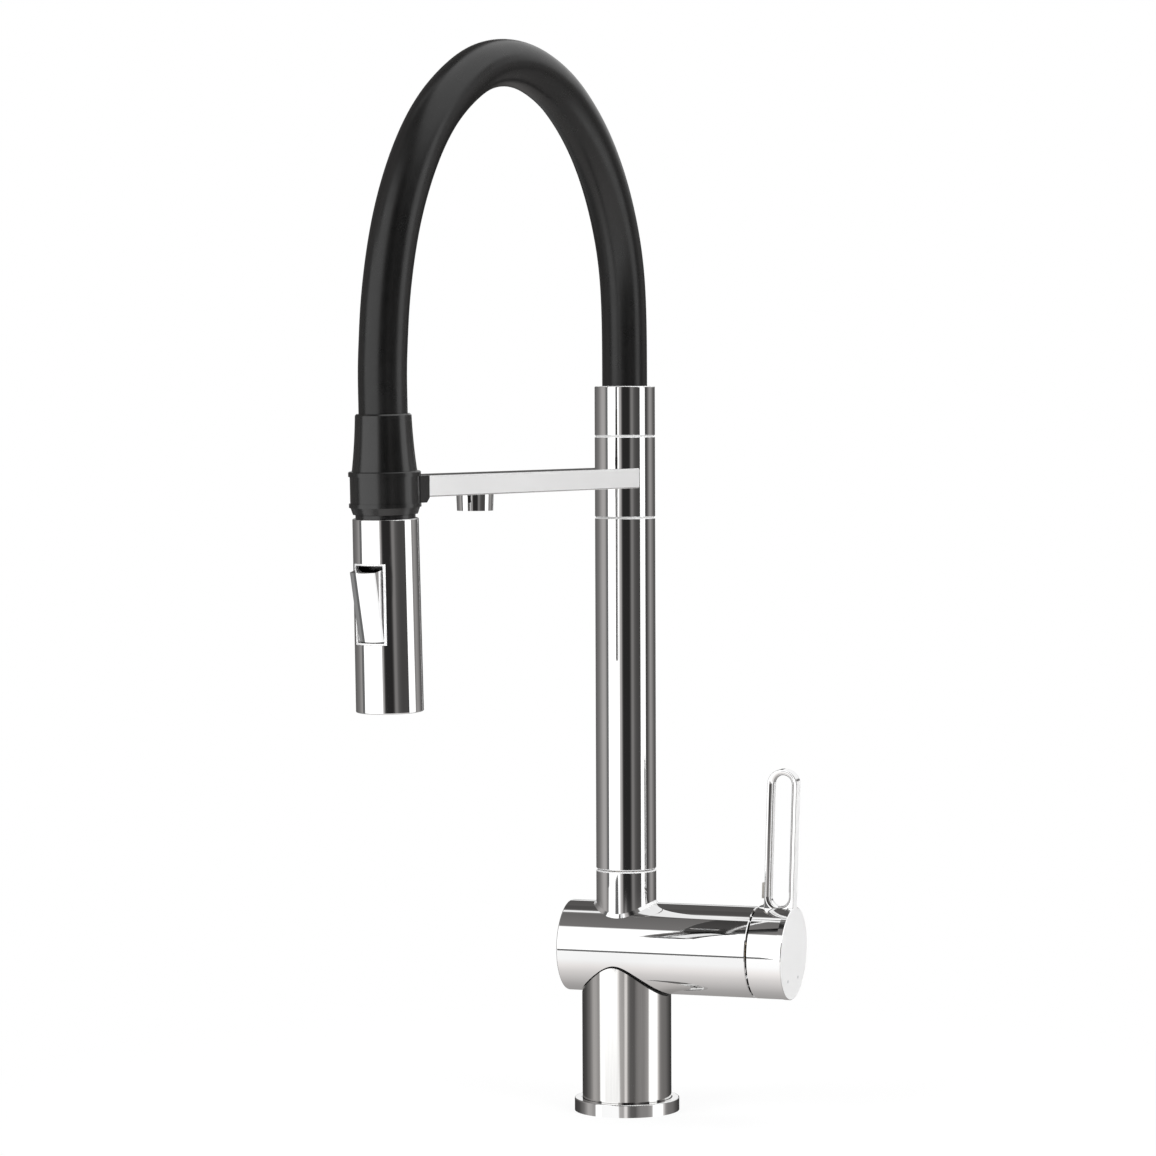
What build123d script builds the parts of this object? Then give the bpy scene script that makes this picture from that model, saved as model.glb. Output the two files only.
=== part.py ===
from build123d import *
import os
from math import cos, hypot, pi, radians, sin, tan

# A single-lever kitchen tap with a pull-off spray on a hose arch and a filtered water outlet in its arm.
# Millimetres. The origin is the centre of the base on the deck, +Z is up, the barrel lies along X with
# the lever at its +X end, and the arm points to -Y before it is turned by spout_turn.

# Clearances
running_gap = 0.08
seat_gap = 0.1
side_gap = 0.2
cut_margin = 1.0
edge_pick = 0.01

# Base and column
flange_radius = 26.2
flange_height = 6.4
flange_edge = 0.5
seal_outer_radius = 25.2
seal_inner_radius = 22.2
seal_height = 1.8
column_radius = 22.3
column_wall = 2.5
column_seat_depth = 1.2
column_foot_groove = 0.5
column_top_gap = 1.1
column_top_groove = 1.2
manifold_height = 22.0

# Inlets and studs in the underside
inlet_circle_radius = 10.5
inlet_thread_radius = 5.0
inlet_thread_depth = 12.0
stud_circle_radius = 13.6
stud_hole_radius = 3.0
stud_hole_depth = 15.0
stud_count = 3
supply_tube_radius = 4.0
supply_tube_wall = 0.9
supply_tube_seat = 6.0
supply_port_depth = 3.0

# Mixer barrel
barrel_height = 81.9
barrel_radius = 22.6
barrel_left = 29.4
barrel_rim_edge = 0.6
lever_seam_x = 69.3
lever_seam_gap = 1.1
barrel_seam_edge = 0.4
waterway_radius = 2.4
waterway_wall = 1.0
valve_bore_radius = 17.5
valve_bore_depth = 23.9

# Riser socket and swivel
riser_radius = 15.0
riser_edge = 0.65
socket_top = 121.0
socket_wall = 3.0
socket_flare = 1.2
swivel_gap = 0.35
spigot_radius = 11.4
spigot_tail = 6.0
spigot_ring_radius = 0.8
spigot_ring_count = 2
clip_thickness = 1.0
clip_depth = 1.0
clip_opening = 10.4
bush_length = 22.65

# Riser, collar and top
riser_wall = 1.6
collar_below_arm = 19.7
collar_above_arm = 20.7
collar_wall = 2.5
riser_top_length = 24.8
mixed_tube_radius = 9.5
mixed_tube_wall = 0.9
filtered_tube_radius = 3.0
filtered_tube_wall = 0.7
filtered_tube_socket = 8.0
filtered_tube_drop = 5.0
liner_flange_height = 2.0
manifold_foot = 2.0
manifold_head = 3.0
manifold_seat = 4.0

# Arm
spout_turn = -12.5
arm_height = 316.7
arm_thickness = 9.8
arm_width = 26.0
arm_wall = 1.6
arm_edge = 0.6
arm_outlet_reach = 135.0
arm_outlet_radius = 8.8
arm_outlet_taper = 0.3
arm_outlet_drop = 7.9
arm_outlet_spigot_radius = 7.6
arm_outlet_wall = 1.5
arm_aerator_recess = 0.8
arm_aerator_rim = 1.2
arm_aerator_slot = 0.9
arm_aerator_slot_depth = 2.0
arm_aerator_gap = 1.2
arm_tube_radius = 2.5
arm_tube_wall = 0.6
arm_tube_socket = 3.0
arm_root_length = 12.0
arm_screw_radius = 2.0
arm_screw_length = 14.0
arm_screw_spare = 3.0
arm_screw_spread = 8.0
arm_screw_head_radius = 3.2
arm_screw_head_height = 2.0

# Dock head, its frame lies at the ring's centre and leans with the handset
reach = 209.0
dock_drop = 1.25
dock_lean = 1.7
dock_stand_off = 17.1
ring_radius = 15.9
ring_height = 12.3
ring_bore_radius = 8.0
upper_lip_radius = 16.55
upper_lip_height = 2.3
lower_lip_radius = 16.5
lower_lip_height = 1.8
skirt_height = 3.2
skirt_radius = 14.8
cone_height = 26.1
cone_foot_radius = 14.9
cone_waist_radius = 13.64
cone_waist_share = 0.47
cone_top_radius = 12.9
cone_lip_edge = 0.7
bracket_reach = 7.6
bracket_chamfer = 2.2
bracket_spigot_length = 8.0
magnet_width = 12.0
magnet_depth = 3.9
magnet_height = 4.4
plate_width = 10.0
plate_thickness = 0.9
plate_height = 6.0
plate_cover = 1.0

# Hose
hose_radius = 11.2
hose_wall = 2.3
hose_spring_radius = 8.6
hose_spring_wall = 2.2
inner_hose_radius = 5.5
inner_hose_wall = 1.9
hose_socket_depth = 18.0
hose_seat_in_cone = 8.05
hose_last_run = 38.6
barb_radius = 3.5
barb_wall = 1.0
barb_length = 12.0
ferrule_radius = 7.9
ferrule_stub_radius = 5.9
ferrule_gap = 0.5

# Corners of the hose's route: shares of the reach, and of the rise above the riser's top
hose_rise = 156.9
hose_route = (
    (0.0, 0.1428), (0.0134, 0.4519), (0.1416, 0.768), (0.3129, 0.9401), (0.5211, 1.0),
    (0.7306, 0.9038), (0.8823, 0.6896), (0.9842, 0.3926),
)
hose_corner_share = 0.45

# Handset
neck_radius = 13.7
neck_height = 1.9
handset_top_radius = 15.1
handset_bottom_radius = 15.5
handset_length = 88.4
handset_wall = 1.5
handset_edge = 0.5
core_tail = 9.0
swivel_stub_radius = 6.0
swivel_stub_length = 13.0
check_valve_radius = 4.6
check_valve_length = 10.0
core_way_radius = 3.2
check_valve_seat = 0.8
window_width = 16.5
window_height = 37.0
window_drop = 20.0
frame_rim = 0.9
frame_proud = 0.5
frame_edge = 0.35
rocker_gap = 0.4
rocker_top_gap = 1.4
rocker_bottom_gap = 1.5
rocker_lean = 10.5
rocker_back = 8.4
rocker_wall = 1.6
rocker_pin_depth = 9.6
rocker_pin_rise = 4.0
rocker_pin_radius = 1.0
rocker_boss_radius = 1.5
rocker_pocket_floor = 7.4
spool_radius = 2.2
spool_length = 18.0
spool_travel = 1.5
spool_spare = 1.0
spool_depth = 5.9
spool_groove_inset = 4.0
spool_groove_depth = 1.5
spool_groove_width = 2.0
spray_ring_width = 0.9
spray_ring_height = 2.2
spray_ring_recess = 0.4
spray_face_thickness = 6.0
spray_face_recess = 1.1
nozzle_radius = 0.65
nozzle_tip_radius = 0.455
nozzle_height = 0.7
nozzle_ring_radii = (8.4, 10.9)
nozzle_ring_counts = (14, 20)
aerator_radius = 6.2
aerator_height = 8.0
aerator_proud = 0.3
aerator_cell = 1.0
aerator_pitch = 1.8
aerator_cell_depth = 2.0
aerator_rim = 1.2

# Mixing cartridge and lever
cartridge_radius = 17.4
cartridge_length = 31.0
cartridge_base = 8.0
cartridge_port_drop = 6.0
cartridge_port_rise = 9.0
port_seal_width = 1.1
port_seal_height = 0.9
disc_radius = 13.6
disc_thickness = 3.8
rotor_radius = 12.8
rotor_length = 19.0
nut_radius = 18.2
nut_length = 7.0
nut_notch_count = 6
nut_notch_width = 3.0
nut_notch_depth = 2.0
nut_recess = 5.75
pivot_depth = 18.0
ball_radius = 6.0
pivot_pin_radius = 1.5
pivot_pin_reach = 9.0
stem_width = 8.0
stem_grip = 7.0
flow_angle = 20.0
hub_radius = 22.7
hub_wall = 2.1
hub_rim_land = 0.45
hub_rim_depth = 3.0
hub_boss_radius = 7.5
hub_boss_length = 9.0
hub_length = 17.45
lever_disc_thickness = 3.0
lever_disc_radius = 22.95
lever_disc_edge = 0.3
lever_lean = 1.85
loop_width = 15.2
loop_strip = 3.0
loop_depth = 6.8
loop_height = 91.2
loop_edge = 0.4
loop_slot_edge = 2.3
loop_root_inset = 1.4
loop_foot_fillet = 2.6
loop_slot_lift = 0.4
bumper_low = 26.6
bumper_high = 34.5
bumper_width = 4.0
bumper_proud = 1.6
bumper_sunk = 0.6
bumper_edge = 0.3
set_screw_radius = 2.5
set_screw_length = 3.2
hex_radius = 1.25
hex_depth = 1.8
screw_plug_length = 1.6
screw_plug_recess = 0.25
mark_radius = 0.8
mark_spread = 8.5
mark_drop = 12.8
mark_depth = 0.3

# Filtered water valve and button
filter_valve_length = 15.5
filter_spool_radius = 4.0
end_cap_thickness = 8.0
end_cap_recess = 0.4
button_radius = 12.0
button_proud = 1.8
button_travel = 2.0
button_flange = 1.2
button_flange_height = 1.0
button_lip = 2.2
button_spring_radius = 10.5
button_spring_wall = 1.5
button_groove_inset = 2.0
button_groove_width = 0.6
button_groove_depth = 0.3

# Values worked out from the sizes above
column_inner_radius = column_radius - column_wall
manifold_radius = column_inner_radius - seat_gap
column_foot = flange_height - column_seat_depth
barrel_right = lever_seam_x - lever_seam_gap / 2
hub_left = lever_seam_x + lever_seam_gap / 2
lever_disc_x = hub_left + hub_length
boss_low_x = lever_disc_x - lever_disc_thickness - hub_boss_length
stem_end_x = boss_low_x + stem_grip
set_screw_x = boss_low_x + hub_boss_length / 2
valve_bore_end = valve_bore_depth - barrel_left
nut_low_x = barrel_right - nut_recess - nut_length
cartridge_seat_x = nut_low_x - cartridge_length
rotor_low_x = cartridge_seat_x + cartridge_base + 2 * disc_thickness
pivot_x = hub_left - pivot_depth
socket_inner_radius = riser_radius - socket_wall
riser_low = socket_top + swivel_gap
bush_top = riser_low + bush_length
spigot_top = bush_top + spigot_tail
riser_inner_radius = riser_radius - riser_wall
collar_low = arm_height - collar_below_arm
collar_high = arm_height + collar_above_arm
riser_top_height = collar_high + riser_top_length
collar_inner_radius = riser_radius - collar_wall
mixed_way_offset = filtered_tube_radius + running_gap + waterway_wall + waterway_radius
arm_tip = reach - dock_stand_off
arm_screw_seat = (collar_inner_radius ** 2 - (arm_screw_spread + arm_screw_head_radius) ** 2) ** 0.5
arm_aerator_radius = arm_outlet_radius - arm_outlet_taper - arm_outlet_wall
inlet_angles = {"hot": 60.0, "cold": -60.0, "filtered": 180.0}
dock_height = arm_height - dock_drop
ring_low = -ring_height / 2
ring_high = ring_height / 2
skirt_low = ring_low - lower_lip_height - skirt_height
cone_low = ring_high + upper_lip_height
cone_high = cone_low + cone_height
hose_start = riser_top_height - hose_socket_depth
hose_end_rise = cone_low + hose_seat_in_cone
shell_high = skirt_low - neck_height
shell_low = shell_high - handset_length
shell_inner_radius = handset_top_radius - handset_wall
core_radius = shell_inner_radius - seat_gap
window_high = shell_high - window_drop
window_low = window_high - window_height
window_middle = (window_high + window_low) / 2
core_low = window_low - core_tail
rocker_pocket_half = window_width / 2 - frame_rim
rocker_pin_height = window_low + frame_rim + rocker_pin_rise
stub_low = skirt_low - swivel_stub_length


def round_bar(radius, low, high, x=0.0, y=0.0):
    return Pos(x, y, low) * Cylinder(radius, high - low, align=(Align.CENTER, Align.CENTER, Align.MIN))


def tube(outer, inner, low, high, x=0.0, y=0.0):
    return round_bar(outer, low, high, x, y) - round_bar(inner, low - cut_margin, high + cut_margin, x, y)


def bar_x(radius, low, high, y=0.0, drop=0.0):
    bar = Cylinder(radius, high - low, align=(Align.CENTER, Align.CENTER, Align.MIN))
    return Pos(low, y, barrel_height - drop) * Rot(0, 90, 0) * bar


def tube_x(outer, inner, low, high, y=0.0, drop=0.0):
    return bar_x(outer, low, high, y, drop) - bar_x(inner, low - cut_margin, high + cut_margin, y, drop)


def block(x_low, x_high, y_low, y_high, z_low, z_high):
    size = (x_high - x_low, y_high - y_low, z_high - z_low)
    return Pos(x_low, y_low, z_low) * Box(*size, align=(Align.MIN, Align.MIN, Align.MIN))


def bar_out(radius, start, end, x=0.0):
    """A round bar in the arm's height that points to -Y, from start to end away from the riser's axis."""
    bar = Cylinder(radius, end - start, align=(Align.CENTER, Align.CENTER, Align.MIN))
    return Pos(x, -start, arm_height) * Rot(90, 0, 0) * bar


def cone_up(low_radius, high_radius, low, height, x=0.0, y=0.0):
    cone = Cone(low_radius, high_radius, height, align=(Align.CENTER, Align.CENTER, Align.MIN))
    return Pos(x, y, low) * cone


def rim_edges(solid, radius, height):
    """The circular edges of one radius at one height about Z."""
    found = [e for e in solid.edges().filter_by(GeomType.CIRCLE) if abs(e.radius - radius) < edge_pick]
    return [e for e in found if abs(e.arc_center.Z - height) < edge_pick]


def rim_edges_x(solid, radius, x):
    """The circular edges of one radius at one place along X."""
    found = [e for e in solid.edges().filter_by(GeomType.CIRCLE) if abs(e.radius - radius) < edge_pick]
    return [e for e in found if abs(e.arc_center.X - x) < edge_pick]


def inlet_place(name):
    angle = radians(inlet_angles[name])
    return inlet_circle_radius * cos(angle), inlet_circle_radius * sin(angle)


def barrel_envelope():
    return bar_x(barrel_radius, -barrel_left, barrel_right)


def base_flange():
    flange = round_bar(flange_radius, 0, flange_height)
    flange = fillet(rim_edges(flange, flange_radius, flange_height), flange_edge)
    flange -= round_bar(column_radius + column_foot_groove, column_foot, flange_height + cut_margin)
    flange -= round_bar(column_inner_radius, -cut_margin, flange_height)
    groove = tube(seal_outer_radius + seat_gap, seal_inner_radius - seat_gap, -cut_margin, seal_height)
    return flange - groove


def deck_seal():
    return tube(seal_outer_radius, seal_inner_radius, 0, seal_height)


def column_tube():
    column = tube(column_radius, column_inner_radius, column_foot, barrel_height)
    skin = tube(column_radius + cut_margin, column_radius - column_top_groove, column_foot, barrel_height)
    column -= skin & bar_x(barrel_radius + column_top_gap, -barrel_left, barrel_right)
    return column - barrel_envelope()


def base_manifold():
    manifold = round_bar(manifold_radius, 0, manifold_height)
    tube_bore = supply_tube_radius - supply_tube_wall
    for name in inlet_angles:
        x, y = inlet_place(name)
        manifold -= round_bar(inlet_thread_radius, -cut_margin, inlet_thread_depth, x, y)
        manifold -= round_bar(tube_bore, 0, manifold_height + cut_margin, x, y)
        seat = manifold_height - supply_tube_seat
        manifold -= round_bar(supply_tube_radius + seat_gap, seat, manifold_height + cut_margin, x, y)
    for number in range(stud_count):
        angle = 2 * pi * number / stud_count
        x, y = stud_circle_radius * cos(angle), stud_circle_radius * sin(angle)
        manifold -= round_bar(stud_hole_radius, -cut_margin, stud_hole_depth, x, y)
    return manifold


def barrel_bottom(x, y):
    """Height of the barrel's underside above a point of the base, where the supply tubes enter it."""
    return barrel_height - (barrel_radius ** 2 - y ** 2) ** 0.5


def supply_tube(name):
    x, y = inlet_place(name)
    high = barrel_bottom(x, y) + supply_port_depth
    low = manifold_height - supply_tube_seat
    return tube(supply_tube_radius, supply_tube_radius - supply_tube_wall, low, high, x, y)


def mixer_body():
    barrel = barrel_envelope()
    barrel = fillet(rim_edges_x(barrel, barrel_radius, -barrel_left), barrel_rim_edge)
    barrel = chamfer(rim_edges_x(barrel, barrel_radius, barrel_right), barrel_seam_edge)
    barrel -= bar_x(valve_bore_radius, -barrel_left - cut_margin, valve_bore_end)
    barrel -= bar_x(cartridge_radius + seat_gap, cartridge_seat_x, barrel_right + cut_margin)
    barrel -= bar_x(nut_radius + seat_gap, nut_low_x, barrel_right + cut_margin)
    for name in ("hot", "cold"):
        x, y = inlet_place(name)
        low = barrel_bottom(x, y)
        port_height = barrel_height - cartridge_port_drop
        seat_low, seat_high = low - 2 * cut_margin, low + supply_port_depth
        barrel -= round_bar(supply_tube_radius + seat_gap, seat_low, seat_high, x, y)
        barrel -= round_bar(waterway_radius, low, port_height, x, y)
        port_end = cartridge_seat_x + cut_margin
        barrel -= bar_x(waterway_radius, x - waterway_radius, port_end, y, cartridge_port_drop)
    x, y = inlet_place("filtered")
    low = barrel_bottom(x, y)
    seat_low, seat_high = low - 2 * cut_margin, low + supply_port_depth
    barrel -= round_bar(supply_tube_radius + seat_gap, seat_low, seat_high, x, y)
    barrel -= round_bar(waterway_radius, low, barrel_height, x, y)
    top = barrel_height + barrel_radius + cut_margin
    rise = barrel_height + cartridge_port_rise
    barrel -= bar_x(waterway_radius, mixed_way_offset, cartridge_seat_x + cut_margin, 0, -cartridge_port_rise)
    barrel -= round_bar(waterway_radius, rise, top, mixed_way_offset)
    barrel -= bar_x(waterway_radius, valve_bore_end - cut_margin, 0, 0, -cartridge_port_rise)
    barrel -= round_bar(waterway_radius, rise, top)
    return barrel


def riser_socket():
    """The short upright on the barrel, with a small flare where its foot meets the barrel."""
    socket = round_bar(riser_radius, barrel_height, socket_top)
    socket = chamfer(rim_edges(socket, riser_radius, socket_top), riser_edge)
    joined = socket + barrel_envelope()
    above = joined.edges().filter_by(lambda e: barrel_height < e.center().Z < socket_top - riser_edge)
    foot = [e for e in above if e.geom_type not in (GeomType.CIRCLE, GeomType.LINE)]
    joined = chamfer(foot, socket_flare)
    return joined - barrel_envelope() - round_bar(socket_inner_radius, 0, socket_top + cut_margin)


def spigot_ring_heights():
    spacing = bush_length / (spigot_ring_count + 1)
    return [riser_low + spacing * (number + 1) for number in range(spigot_ring_count)]


def spout_spigot():
    spigot = round_bar(socket_inner_radius - seat_gap, barrel_height, socket_top)
    spigot += round_bar(spigot_radius, socket_top, spigot_top)
    spigot -= barrel_envelope()
    way_radius = filtered_tube_radius - filtered_tube_wall
    spigot -= round_bar(way_radius, barrel_height, spigot_top + cut_margin)
    tube_seat = bush_top - filtered_tube_socket - 2 * cut_margin
    spigot -= round_bar(filtered_tube_radius + running_gap, tube_seat, spigot_top + cut_margin)
    spigot -= round_bar(waterway_radius, barrel_height, spigot_top + cut_margin, mixed_way_offset)
    for height in spigot_ring_heights():
        half = spigot_ring_radius
        groove = tube(spigot_radius + cut_margin, spigot_radius - 2 * half, height - half, height + half)
        spigot -= groove
    low = bush_top + side_gap
    return spigot - tube(spigot_radius + cut_margin, spigot_radius - clip_depth, low, low + clip_thickness)


def spigot_o_rings():
    rings = []
    for height in spigot_ring_heights():
        rings.append(Pos(0, 0, height) * Torus(spigot_radius - spigot_ring_radius, spigot_ring_radius))
    return rings


def spigot_clip():
    low = bush_top + side_gap
    clip = tube(spigot_radius + clip_depth, spigot_radius - clip_depth, low, low + clip_thickness)
    half = clip_opening / 2
    return clip - block(-2 * spigot_radius, 0, -half, half, low - cut_margin, low + 2 * clip_thickness)


def filter_valve():
    high = valve_bore_end
    low = high - filter_valve_length
    valve = bar_x(valve_bore_radius - seat_gap, low, high)
    valve -= bar_x(filter_spool_radius + running_gap, low - cut_margin, high - cut_margin)
    x, y = inlet_place("filtered")
    valve -= round_bar(waterway_radius, barrel_height - barrel_radius, barrel_height, x, y)
    valve -= bar_x(waterway_radius, x - waterway_radius, high + cut_margin, 0, -cartridge_port_rise)
    valve -= round_bar(waterway_radius, barrel_height, barrel_height + cartridge_port_rise, x, y)
    return valve


def end_cap():
    low = -barrel_left + end_cap_recess
    high = low + end_cap_thickness
    cap = bar_x(valve_bore_radius - seat_gap, low, high)
    cap = chamfer(rim_edges_x(cap, valve_bore_radius - seat_gap, low), barrel_seam_edge)
    cap -= bar_x(button_radius + side_gap, low - cut_margin, high + cut_margin)
    cap -= bar_x(button_radius + button_flange + side_gap, low + button_lip, high + cut_margin)
    return cap


def filter_button():
    cap_low = -barrel_left + end_cap_recess
    front = -barrel_left - button_proud
    flange_low = cap_low + button_lip
    flange_high = flange_low + button_flange_height
    stem_end = valve_bore_end - cut_margin - button_travel - side_gap
    button = bar_x(button_radius, front, flange_high)
    button = fillet(rim_edges_x(button, button_radius, front), barrel_rim_edge)
    button += bar_x(button_radius + button_flange, flange_low, flange_high)
    button += bar_x(filter_spool_radius, flange_low, stem_end)
    groove_outer = button_radius - button_groove_inset
    groove_inner = groove_outer - button_groove_width
    return button - tube_x(groove_outer, groove_inner, front - cut_margin, front + button_groove_depth)


def button_spring():
    """Drawn at its pressed length, standing on the valve round the button's stem."""
    valve_low = valve_bore_end - filter_valve_length
    flange_high = -barrel_left + end_cap_recess + button_lip + button_flange_height
    length = valve_low - flange_high - button_travel - side_gap
    inner = button_spring_radius - button_spring_wall
    return tube_x(button_spring_radius, inner, valve_low - length, valve_low)


def port_places():
    hot_x, hot_y = inlet_place("hot")
    cold_x, cold_y = inlet_place("cold")
    return ((hot_y, cartridge_port_drop), (cold_y, cartridge_port_drop), (0.0, -cartridge_port_rise))


def cartridge_seals():
    seals = []
    outer = waterway_radius + side_gap + port_seal_width
    for y, drop in port_places():
        inner = waterway_radius + side_gap
        seals.append(tube_x(outer, inner, cartridge_seat_x, cartridge_seat_x + port_seal_height, y, drop))
    return seals


def cartridge_housing():
    high = cartridge_seat_x + cartridge_length
    base = cartridge_seat_x + cartridge_base
    housing = bar_x(cartridge_radius, cartridge_seat_x, high)
    housing -= bar_x(disc_radius + seat_gap, base, rotor_low_x)
    housing -= bar_x(rotor_radius + running_gap, base, high + cut_margin)
    for y, drop in port_places():
        housing -= bar_x(waterway_radius, cartridge_seat_x - cut_margin, base + cut_margin, y, drop)
        groove_radius = waterway_radius + side_gap + port_seal_width
        groove_end = cartridge_seat_x + port_seal_height
        housing -= bar_x(groove_radius, cartridge_seat_x - cut_margin, groove_end, y, drop)
    return housing


def ceramic_fixed_disc():
    low = cartridge_seat_x + cartridge_base
    disc = bar_x(disc_radius, low, low + disc_thickness)
    for y, drop in port_places():
        disc -= bar_x(waterway_radius, low - cut_margin, low + disc_thickness + cut_margin, y, drop)
    return disc


def ceramic_moving_disc():
    low = cartridge_seat_x + cartridge_base + disc_thickness
    disc = bar_x(rotor_radius, low, low + disc_thickness)
    return disc - bar_x(rotor_radius / 2, low - cut_margin, low + disc_thickness / 2)


def cartridge_rotor():
    rotor = bar_x(rotor_radius, rotor_low_x, rotor_low_x + rotor_length)
    rotor_high = rotor_low_x + rotor_length
    half = stem_width / 2
    swing = (rotor_high + cut_margin - pivot_x) * tan(radians(flow_angle)) + half / cos(radians(flow_angle))
    slot_y = half + side_gap
    slot_low, slot_high = barrel_height - swing - side_gap, barrel_height + half + side_gap
    cavity = Pos(pivot_x, 0, barrel_height) * Rot(0, 90, 0) * Sphere(ball_radius + running_gap)
    cavity += block(pivot_x, rotor_high + cut_margin, -slot_y, slot_y, slot_low, slot_high)
    return rotor - cavity - pivot_bar(pivot_pin_radius + running_gap, pivot_pin_reach + side_gap)


def pivot_bar(radius, end):
    """A round bar along Y through the lever's pivot."""
    return Pos(pivot_x, 0, barrel_height) * Rot(90, 0, 0) * Cylinder(radius, 2 * end)


def cartridge_nut():
    high = nut_low_x + nut_length
    nut = tube_x(nut_radius, rotor_radius + side_gap, nut_low_x, high)
    for number in range(nut_notch_count):
        half = nut_notch_width / 2
        low, top = high - nut_notch_depth, high + cut_margin
        notch = block(low, top, -half, half, nut_radius - nut_notch_depth, nut_radius + cut_margin)
        turn = 360 * number / nut_notch_count
        nut -= Pos(0, 0, barrel_height) * Rot(turn, 0, 0) * notch
    return nut


def lever_frame(piece):
    """Places a piece made about the lever disc's centre, which leans outward at the top."""
    return Pos(lever_disc_x, 0, barrel_height) * Rot(0, lever_lean, 0) * piece


def lever_stem():
    half = stem_width / 2
    stem = Pos(pivot_x, 0, barrel_height) * Rot(0, 90, 0) * Sphere(ball_radius)
    bar = block(pivot_x, stem_end_x, -half, half, barrel_height - half, barrel_height + half)
    return stem + bar + pivot_bar(pivot_pin_radius, pivot_pin_reach)


def lever_loop():
    """The bent strip of the lever, an upright slotted loop with broad rounds inside its slot."""
    inner_width = loop_width - 2 * loop_strip
    foot = hub_radius - hub_wall / 2
    slot_low = hub_radius + inner_width / 2 + loop_slot_lift
    slot_high = loop_height - loop_strip - inner_width / 2
    arch_centre = loop_height - loop_width / 2
    outline = Pos(0, (foot + arch_centre) / 2) * Rectangle(loop_width, arch_centre - foot)
    outline += Pos(0, arch_centre) * Circle(loop_width / 2)
    slot = SlotCenterToCenter(slot_high - slot_low, inner_width, rotation=90)
    outline -= Pos(0, (slot_low + slot_high) / 2) * slot
    upright = Plane(origin=(-loop_width / 2, loop_depth / 2, 0), x_dir=(1, 0, 0), z_dir=(0, -1, 0))
    loop = extrude(upright * outline, loop_depth)
    sides = loop.faces().filter_by(Axis.Y)
    outside = [e for side in sides for e in side.outer_wire().edges() if e.center().Z > foot + cut_margin]
    loop = fillet(outside, loop_edge)
    sides = loop.faces().filter_by(Axis.Y)
    rims = [wire for side in sides for wire in side.inner_wires()]
    return fillet([e for rim in rims for e in rim.edges()], loop_slot_edge)


def lever_disc():
    """The flat disc with the root of the loop's outer leg blended into it."""
    root_high = hub_radius + 3 * loop_foot_fillet
    root = Pos(0, root_high / 2) * Rectangle(loop_depth - 2 * loop_root_inset, root_high)
    outline = Circle(lever_disc_radius) + root
    upper = [v for v in outline.vertices() if 0 < v.Y < lever_disc_radius + edge_pick]
    corners = [v for v in upper if abs(v.X) > loop_edge]
    outline = fillet(corners, loop_foot_fillet)
    upright = Plane(origin=(0, 0, 0), x_dir=(0, 1, 0), z_dir=(1, 0, 0))
    disc = extrude(upright * outline, -lever_disc_thickness)
    front = [e for e in disc.edges() if abs(e.center().X) < edge_pick and e.center().Z < hub_radius]
    return chamfer(front, lever_disc_edge)


def foot_web():
    """Concave corner between the inner leg of the loop and the top of the hub."""
    corner = loop_foot_fillet
    half = loop_depth / 2 - loop_root_inset
    low, high = hub_radius - hub_wall / 2, hub_radius + corner
    web = block(-loop_width - corner, -loop_width + loop_strip / 3, -half, half, low, high)
    cutter = Pos(-loop_width - corner, 0, high) * Rot(90, 0, 0) * Cylinder(corner, 2 * loop_depth)
    return web - cutter


def lever_handle():
    hub = bar_x(hub_radius, hub_left, lever_disc_x + lever_disc_thickness)
    inner = hub_radius - hub_wall
    hollow = bar_x(inner, hub_left - cut_margin, lever_disc_x - lever_disc_thickness)
    hub -= hollow
    mouth = cone_up(hub_radius - hub_rim_land, inner, 0, hub_rim_depth)
    hub -= Pos(hub_left, 0, barrel_height) * Rot(0, 90, 0) * mouth
    hub += bar_x(hub_boss_radius, boss_low_x, lever_disc_x - lever_disc_thickness / 2)
    far = 3 * hub_radius
    hub -= lever_frame(block(-lever_disc_thickness / 2, far, -far, far, -far, far))
    handle = hub + lever_frame(lever_disc()) + lever_frame(lever_loop()) + lever_frame(foot_web())
    half = stem_width / 2 + seat_gap
    low, high = barrel_height - half, barrel_height + half
    handle -= block(boss_low_x - cut_margin, stem_end_x + seat_gap, -half, half, low, high)
    screw_low = barrel_height - hub_radius - cut_margin
    handle -= round_bar(set_screw_radius + seat_gap, screw_low, barrel_height, set_screw_x)
    half = bumper_width / 2
    left, right = -loop_width - cut_margin, -loop_width + bumper_sunk
    handle -= lever_frame(block(left, right, -half, half, bumper_low, bumper_high))
    for y in (-mark_spread, mark_spread):
        handle -= lever_frame(mark_dot(mark_radius, mark_depth + cut_margin, y))
    return handle


def mark_dot(radius, thickness, y):
    """A round dot that starts at the marks' depth under the disc's face."""
    dot = Cylinder(radius, thickness, align=(Align.CENTER, Align.CENTER, Align.MIN))
    return Pos(-mark_depth, y, -mark_drop) * Rot(0, 90, 0) * dot


def lever_set_screw():
    high = barrel_height - stem_width / 2
    low = high - set_screw_length
    screw = round_bar(set_screw_radius, low, high, set_screw_x)
    return screw - extrude(Pos(set_screw_x, 0, low) * RegularPolygon(hex_radius, 6), hex_depth)


def screw_plug():
    low = barrel_height - hub_radius + screw_plug_recess
    return round_bar(set_screw_radius, low, low + screw_plug_length, set_screw_x)


def lever_bumper():
    half = bumper_width / 2 - seat_gap / 2
    low, high = bumper_low + seat_gap / 2, bumper_high - seat_gap / 2
    pad = block(-loop_width - bumper_proud, -loop_width + bumper_sunk, -half, half, low, high)
    outer = [e for e in pad.edges() if abs(e.center().X + loop_width + bumper_proud) < edge_pick]
    return lever_frame(fillet(outer, bumper_edge))


def temperature_marks():
    radius = mark_radius - seat_gap / 4
    return [lever_frame(mark_dot(radius, mark_depth, y)) for y in (-mark_spread, mark_spread)]


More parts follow.
